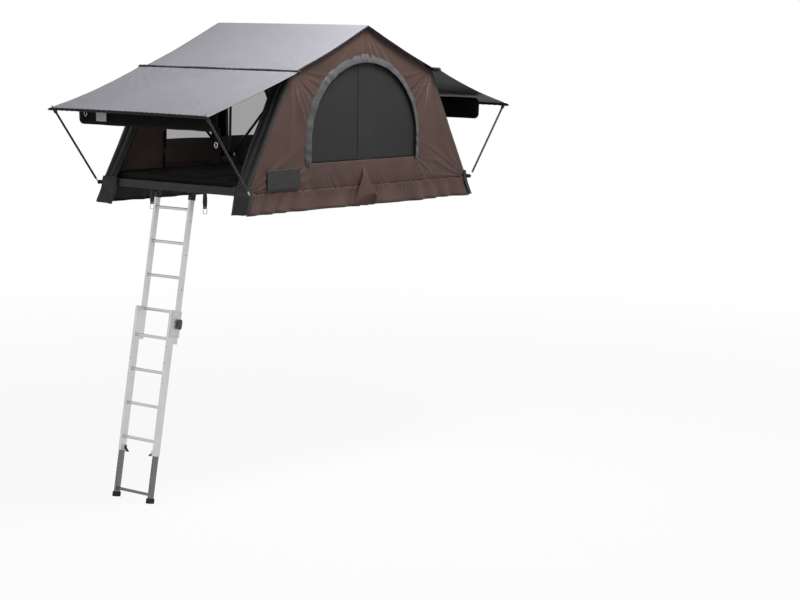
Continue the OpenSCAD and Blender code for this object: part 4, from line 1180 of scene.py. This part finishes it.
def roll_trim(low, high, middle_a, side, seed):
    """The hanging corner, the tab and the two rings of the roll on the ladder side."""
    u, v = shares(24, 40)
    z = high.z - 0.110 - 0.030 * u + (low.z - high.z + 0.148 - 0.150 * u) * v
    wave = 0.006 * np.sin(7 * u + 3 * v + seed) * v + 0.004 * np.sin(19 * u + seed) * v
    y = -ROLL_HALF + 0.045 - 0.082 * u + 0.010 * v * u
    corner = from_fold(side, middle_a + 0.004 + wave, y, z)
    flap = cloth("door_roll_corner", corner, 0.0016, [roll_cloth_painted_shade], (side, 0, 0))
    face_a = middle_a + ROLL_THICK / 2
    u, v = shares(12, 10)
    tab_points = from_fold(side, face_a + 0.0056 + 0.0008 * np.sin(3 * u + 2 * v),
                           0.392 + TAB_WIDTH * u, high.z - 0.060 - TAB_HEIGHT * v)
    tab = cloth("door_roll_tab", tab_points, 0.0010, [tab_cloth], (side, 0, 0))
    pieces = [flap, tab]
    around, wire = full_turn(20)[:, None], full_turn(8)
    for end_name, at_y, at_z, at_a in (("front", -ROLL_HALF - 0.006, low.z - 0.085, middle_a + 0.014),
                                       ("rear", 0.602, high.z - 0.090, face_a + 0.006)):
        reach = RING_RADIUS + RING_WIRE * np.cos(wire)
        loop = from_fold(side, at_a + RING_WIRE * np.sin(wire),
                         at_y + 0.7 * reach * np.cos(around), at_z + reach * np.sin(around))
        ring = tube(f"door_roll_ring_{end_name}", loop, [zinc_steel], loop=True)
        pieces.append(ring)
    return pieces


def door_roll(half, side, seed):
    low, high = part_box("door_roll_" + half)
    middle_a = abs((low.x + high.x) / 2 - FOLD_X)
    turn = full_turn(56)
    c, d = np.cos(turn), np.sin(turn)
    rings = []
    far_end = ROLL_HALF + (0.045 if half == "outer" else 0.0)
    for s in np.linspace(0, 1, 150):
        y = -ROLL_HALF + (far_end + ROLL_HALF) * s
        near_gap = np.clip(min(s, 1 - s) * 2 * ROLL_HALF / 0.045, 0.04, 1)
        swell = (1 - (1 - near_gap) ** 2.4) ** (1 / 2.4)
        bx = bent(c, 0.8) * ROLL_THICK / 2 * swell
        bz = bent(d, 0.55) * (ROLL_HEIGHT - 0.006) / 2 * (0.45 + 0.55 * swell)
        lap = 0.004 * hump(turn - 3.6 - 0.1 * math.sin(5 * s), 0.12)
        crease = 0.0022 * np.sin(3 * turn + 9 * s * 3 + seed) + 0.0014 * np.sin(31 * s + 5 * turn)
        tie = 1 - 0.10 * sum(math.exp(-((s - t) / 0.012) ** 2) for t in (0.16, 0.5, 0.84))
        a = middle_a + bx * tie + lap * swell + crease * c * swell
        z = high.z - 0.003 - ROLL_HEIGHT / 2 + bz + 0.4 * crease * d
        rings.append(from_fold(side, a, y, z))
    roll = tube(f"door_roll_{half}_panel", rings, [roll_cloth_painted_shade])
    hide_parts("door_roll_" + half)
    pieces = [roll] + (roll_trim(low, high, middle_a, side, seed) if half == "outer" else [])
    hangs = np.array([middle_a, high.z - ROLL_HEIGHT / 2])
    flat_at = (ROLL_LIES - ROLL_KEEP * hangs) / (1 - ROLL_KEEP)
    for piece in pieces:
        on_bow(piece, half, side, flat_at)


for half, side in HALVES:
    door_roll(half, side, 131 + side)

# Awning rods: thin bare spring steel, in a sleeve braided of black and grey with a
# rubber plug under the eyelet.
rod_steel = drawn_metal("rod_steel", (0.40, 0.40, 0.40), (0.56, 0.56, 0.56), "Z", 0.30)
dress([f"rod_{end_name}_{half}" for half, _, end_name, _ in QUARTERS], rod_steel)
SLEEVE_RADIUS = 0.0078
braid_shade = Shade("rod_braid")
braid_u, braid_v = braid_shade.cut()[1:]
braid_turn = (braid_u * (2 * math.pi / 0.034) + braid_v * (1 / SLEEVE_RADIUS)).sine() * 0.5 + 0.5
braid_yarn = (braid_u * (2 * math.pi / 0.0030) - braid_v * (3 / SLEEVE_RADIUS)).sine() * 0.5 + 0.5
rod_braid = braid_shade.finish(
    Base_Color=braid_shade.ramp(braid_turn * 0.7 + braid_yarn * 0.3,
                                [(0.35, (0.012, 0.012, 0.013)), (0.8, (0.060, 0.060, 0.062))]),
    Roughness=0.5 + 0.2 * braid_yarn, Normal=braid_shade.bump(braid_yarn, 0.0005, 0.5),
    Specular_IOR_Level=0.25)


def rod_sleeve(half, side, end_name):
    eye = np.array(joint(f"rod_{end_name}_{half}_swing")["pos_m"])
    low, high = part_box(f"rod_{end_name}_{half}")
    tip = np.array([low.x if side < 0 else high.x, eye[1], high.z])
    run = (tip - eye) / np.linalg.norm(tip - eye)
    beside = np.array([-run[2], 0, run[0]])
    turn = full_turn(14)
    reach = np.linspace(0.030, np.linalg.norm(tip - eye) - 0.040, 120)
    rings = []
    for s in reach:
        plug = unit((s - reach[-1] + 0.034) / 0.008)
        taper = min(1.0, 0.7 + (s - reach[0]) / 0.02)
        radius = SLEEVE_RADIUS * (1 + 0.04 * math.sin(s * 300)) * taper + 0.0045 * plug
        ring = beside * np.cos(turn)[:, None] + np.array([0, 1, 0]) * np.sin(turn)[:, None]
        rings.append(eye + run * s + radius * ring)
    made = tube(f"rod_sleeve_{end_name}_{half}", rings, [rod_braid])
    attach(made, f"rod_{end_name}_{half}_body")


for half, side, end_name, _ in QUARTERS:
    rod_sleeve(half, side, end_name)

# Ladder: satin anodised tube, with the lower section sliding in guides in front of
# the upper one and grey legs sliding out of its stiles.
ladder_alloy = drawn_metal("ladder_alloy", (0.52, 0.52, 0.51), (0.68, 0.68, 0.665), "Z", 0.40)
rung_alloy = drawn_metal("rung_alloy", (0.50, 0.50, 0.49), (0.66, 0.66, 0.65), "Y", 0.36)
leg_alloy = drawn_metal("leg_alloy", (0.13, 0.13, 0.13), (0.22, 0.22, 0.22), "Z", 0.42)
guide_alloy = drawn_metal("guide_alloy", (0.46, 0.46, 0.455), (0.60, 0.60, 0.59), "Z", 0.42)
grey_plastic = coated("grey_plastic", (0.075, 0.075, 0.076), (0.125, 0.125, 0.127), 500.0, 0.45)
black_plastic = coated("black_plastic", (0.010, 0.010, 0.011), (0.022, 0.022, 0.023), 700.0, 0.5)
black_rubber = coated("black_rubber", (0.008, 0.008, 0.008), (0.018, 0.018, 0.018), 250.0, 0.75)
dress(("ladder_upper_stiles", "ladder_lower_stiles"), ladder_alloy)
dress(("ladder_upper_rungs", "ladder_lower_rungs"), rung_alloy)
dress(("ladder_legs",), leg_alloy)
dress(("ladder_guides",), guide_alloy)
dress(("ladder_top_caps", "leg_lever_left", "leg_lever_right"), black_plastic)
dress(("lock_pin_left", "lock_pin_right"), grey_plastic)
dress(("ladder_feet",), black_rubber)

# Strap loops: black ribbed webbing, doubled and fixed under the outer beam, each holding
# a steel bar buckle.
webbing_shade = Shade("webbing")
web_u = webbing_shade.cut()[1]
web_rib = (web_u * (2 * math.pi / 0.0022)).sine() * 0.5 + 0.5
webbing = webbing_shade.finish(
    Base_Color=webbing_shade.ramp(web_rib, [(0.0, (0.006, 0.006, 0.006)), (1.0, (0.017, 0.017, 0.018))]),
    Roughness=0.62 + 0.2 * web_rib, Normal=webbing_shade.bump(web_rib, 0.0006, 0.6), Sheen_Weight=0.1)
strap_low, strap_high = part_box("strap_loops")
STRAP_WIDTH = 0.024
strap_radius = (strap_high.x - strap_low.x) / 2 - 0.001
strap_leg = strap_high.z - strap_low.z - strap_radius - 0.001
strap_bend = np.linspace(0, math.pi, 30)
strap_path = np.concatenate([
    line((strap_radius - 0.0012, 0), (strap_radius, -strap_leg), 26),
    np.stack([strap_radius * np.cos(strap_bend), -strap_leg - strap_radius * np.sin(strap_bend)], 1),
    line((0.0012 - strap_radius, 0), (-strap_radius, -strap_leg), 26)[::-1]])
strap_pinch = 0.62 + 0.38 * np.sin(math.pi * unit(-strap_path[:, 1:] / strap_leg)) ** 0.7
for strap_name, strap_y in (("rear", strap_high.y - STRAP_WIDTH / 2),
                            ("front", strap_low.y + STRAP_WIDTH / 2)):
    strap_across = np.linspace(-STRAP_WIDTH / 2, STRAP_WIDTH / 2, 7)[None, :] * strap_pinch
    strap_points = np.stack(np.broadcast_arrays(
        (strap_low.x + strap_high.x) / 2 + strap_path[:, :1], strap_y + strap_across,
        strap_high.z + strap_path[:, 1:]), -1)
    strap = cloth(f"strap_loop_{strap_name}", strap_points, 0.0018, [webbing], (0, 0, -1))
    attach(strap, "outer_base")
    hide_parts("strap_loops")


# Fixings: low bolt heads in the hinge plates' holes, and dome rivets that hold the
# ladder's guides.
def heads(name, sides):
    layout = Layout(name, ("Width", "Height"))
    form = layout.add("GeometryNodeMeshUVSphere", {}, {"Segments": sides, "Rings": 6, "Radius": 0.5})["Mesh"]
    scale = layout.add("ShaderNodeCombineXYZ", {}, {
        "X": layout.given["Width"], "Y": layout.given["Width"], "Z": layout.given["Height"]})["Vector"]
    layout.close(layout.given["Geometry"], form, (1.0, 0.0, 0.0), scale, zinc_steel)
    return layout


BOLT_PLACES = (0.080, 0.150, 0.220)
BOLT_SIZES = {"Width": 0.014, "Height": 0.0028}
BOLT_Z = PLATFORM_Z - 0.0275
RIVET_PLACES = (0.830, 0.897, 0.965)
RIVET_SIZES = {"Width": 0.011, "Height": 0.005}
bolt_heads, rivet_heads = heads("bolt_heads", 6), heads("rivet_heads", 12)
for half, side in HALVES:
    plate_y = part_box("hinge_plates_" + half)[1].y
    rows = [[(FOLD_X + side * a, end * plate_y, BOLT_Z) for a in BOLT_PLACES] for _, end in ENDS]
    bolts = bolt_heads.grow(f"hinge_bolts_{half}", rows, [FACES_ALONG_Y] * 2, BOLT_SIZES, zinc_steel)
    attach(bolts, half + "_base")
guide_low, guide_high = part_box("ladder_guides")
ladder_up = Vector(joint("ladder_slide")["axis"]).normalized()
if ladder_up.z < 0:
    ladder_up = -ladder_up
ladder_pin = Vector(joint("ladder_swing")["pos_m"])
ladder_front = Vector((-ladder_up.z, 0, ladder_up.x))
rows = []
for guide_y in (guide_low.y, guide_high.y):
    guide_pin = ladder_pin + ladder_front * 0.030 + Vector((0, guide_y - ladder_pin.y, 0))
    rows.append([tuple(guide_pin - ladder_up * down) for down in RIVET_PLACES])
rivets = rivet_heads.grow("guide_rivets", rows, [FACES_ALONG_Y] * 2, RIVET_SIZES, zinc_steel)
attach(rivets, "ladder_lower_body")
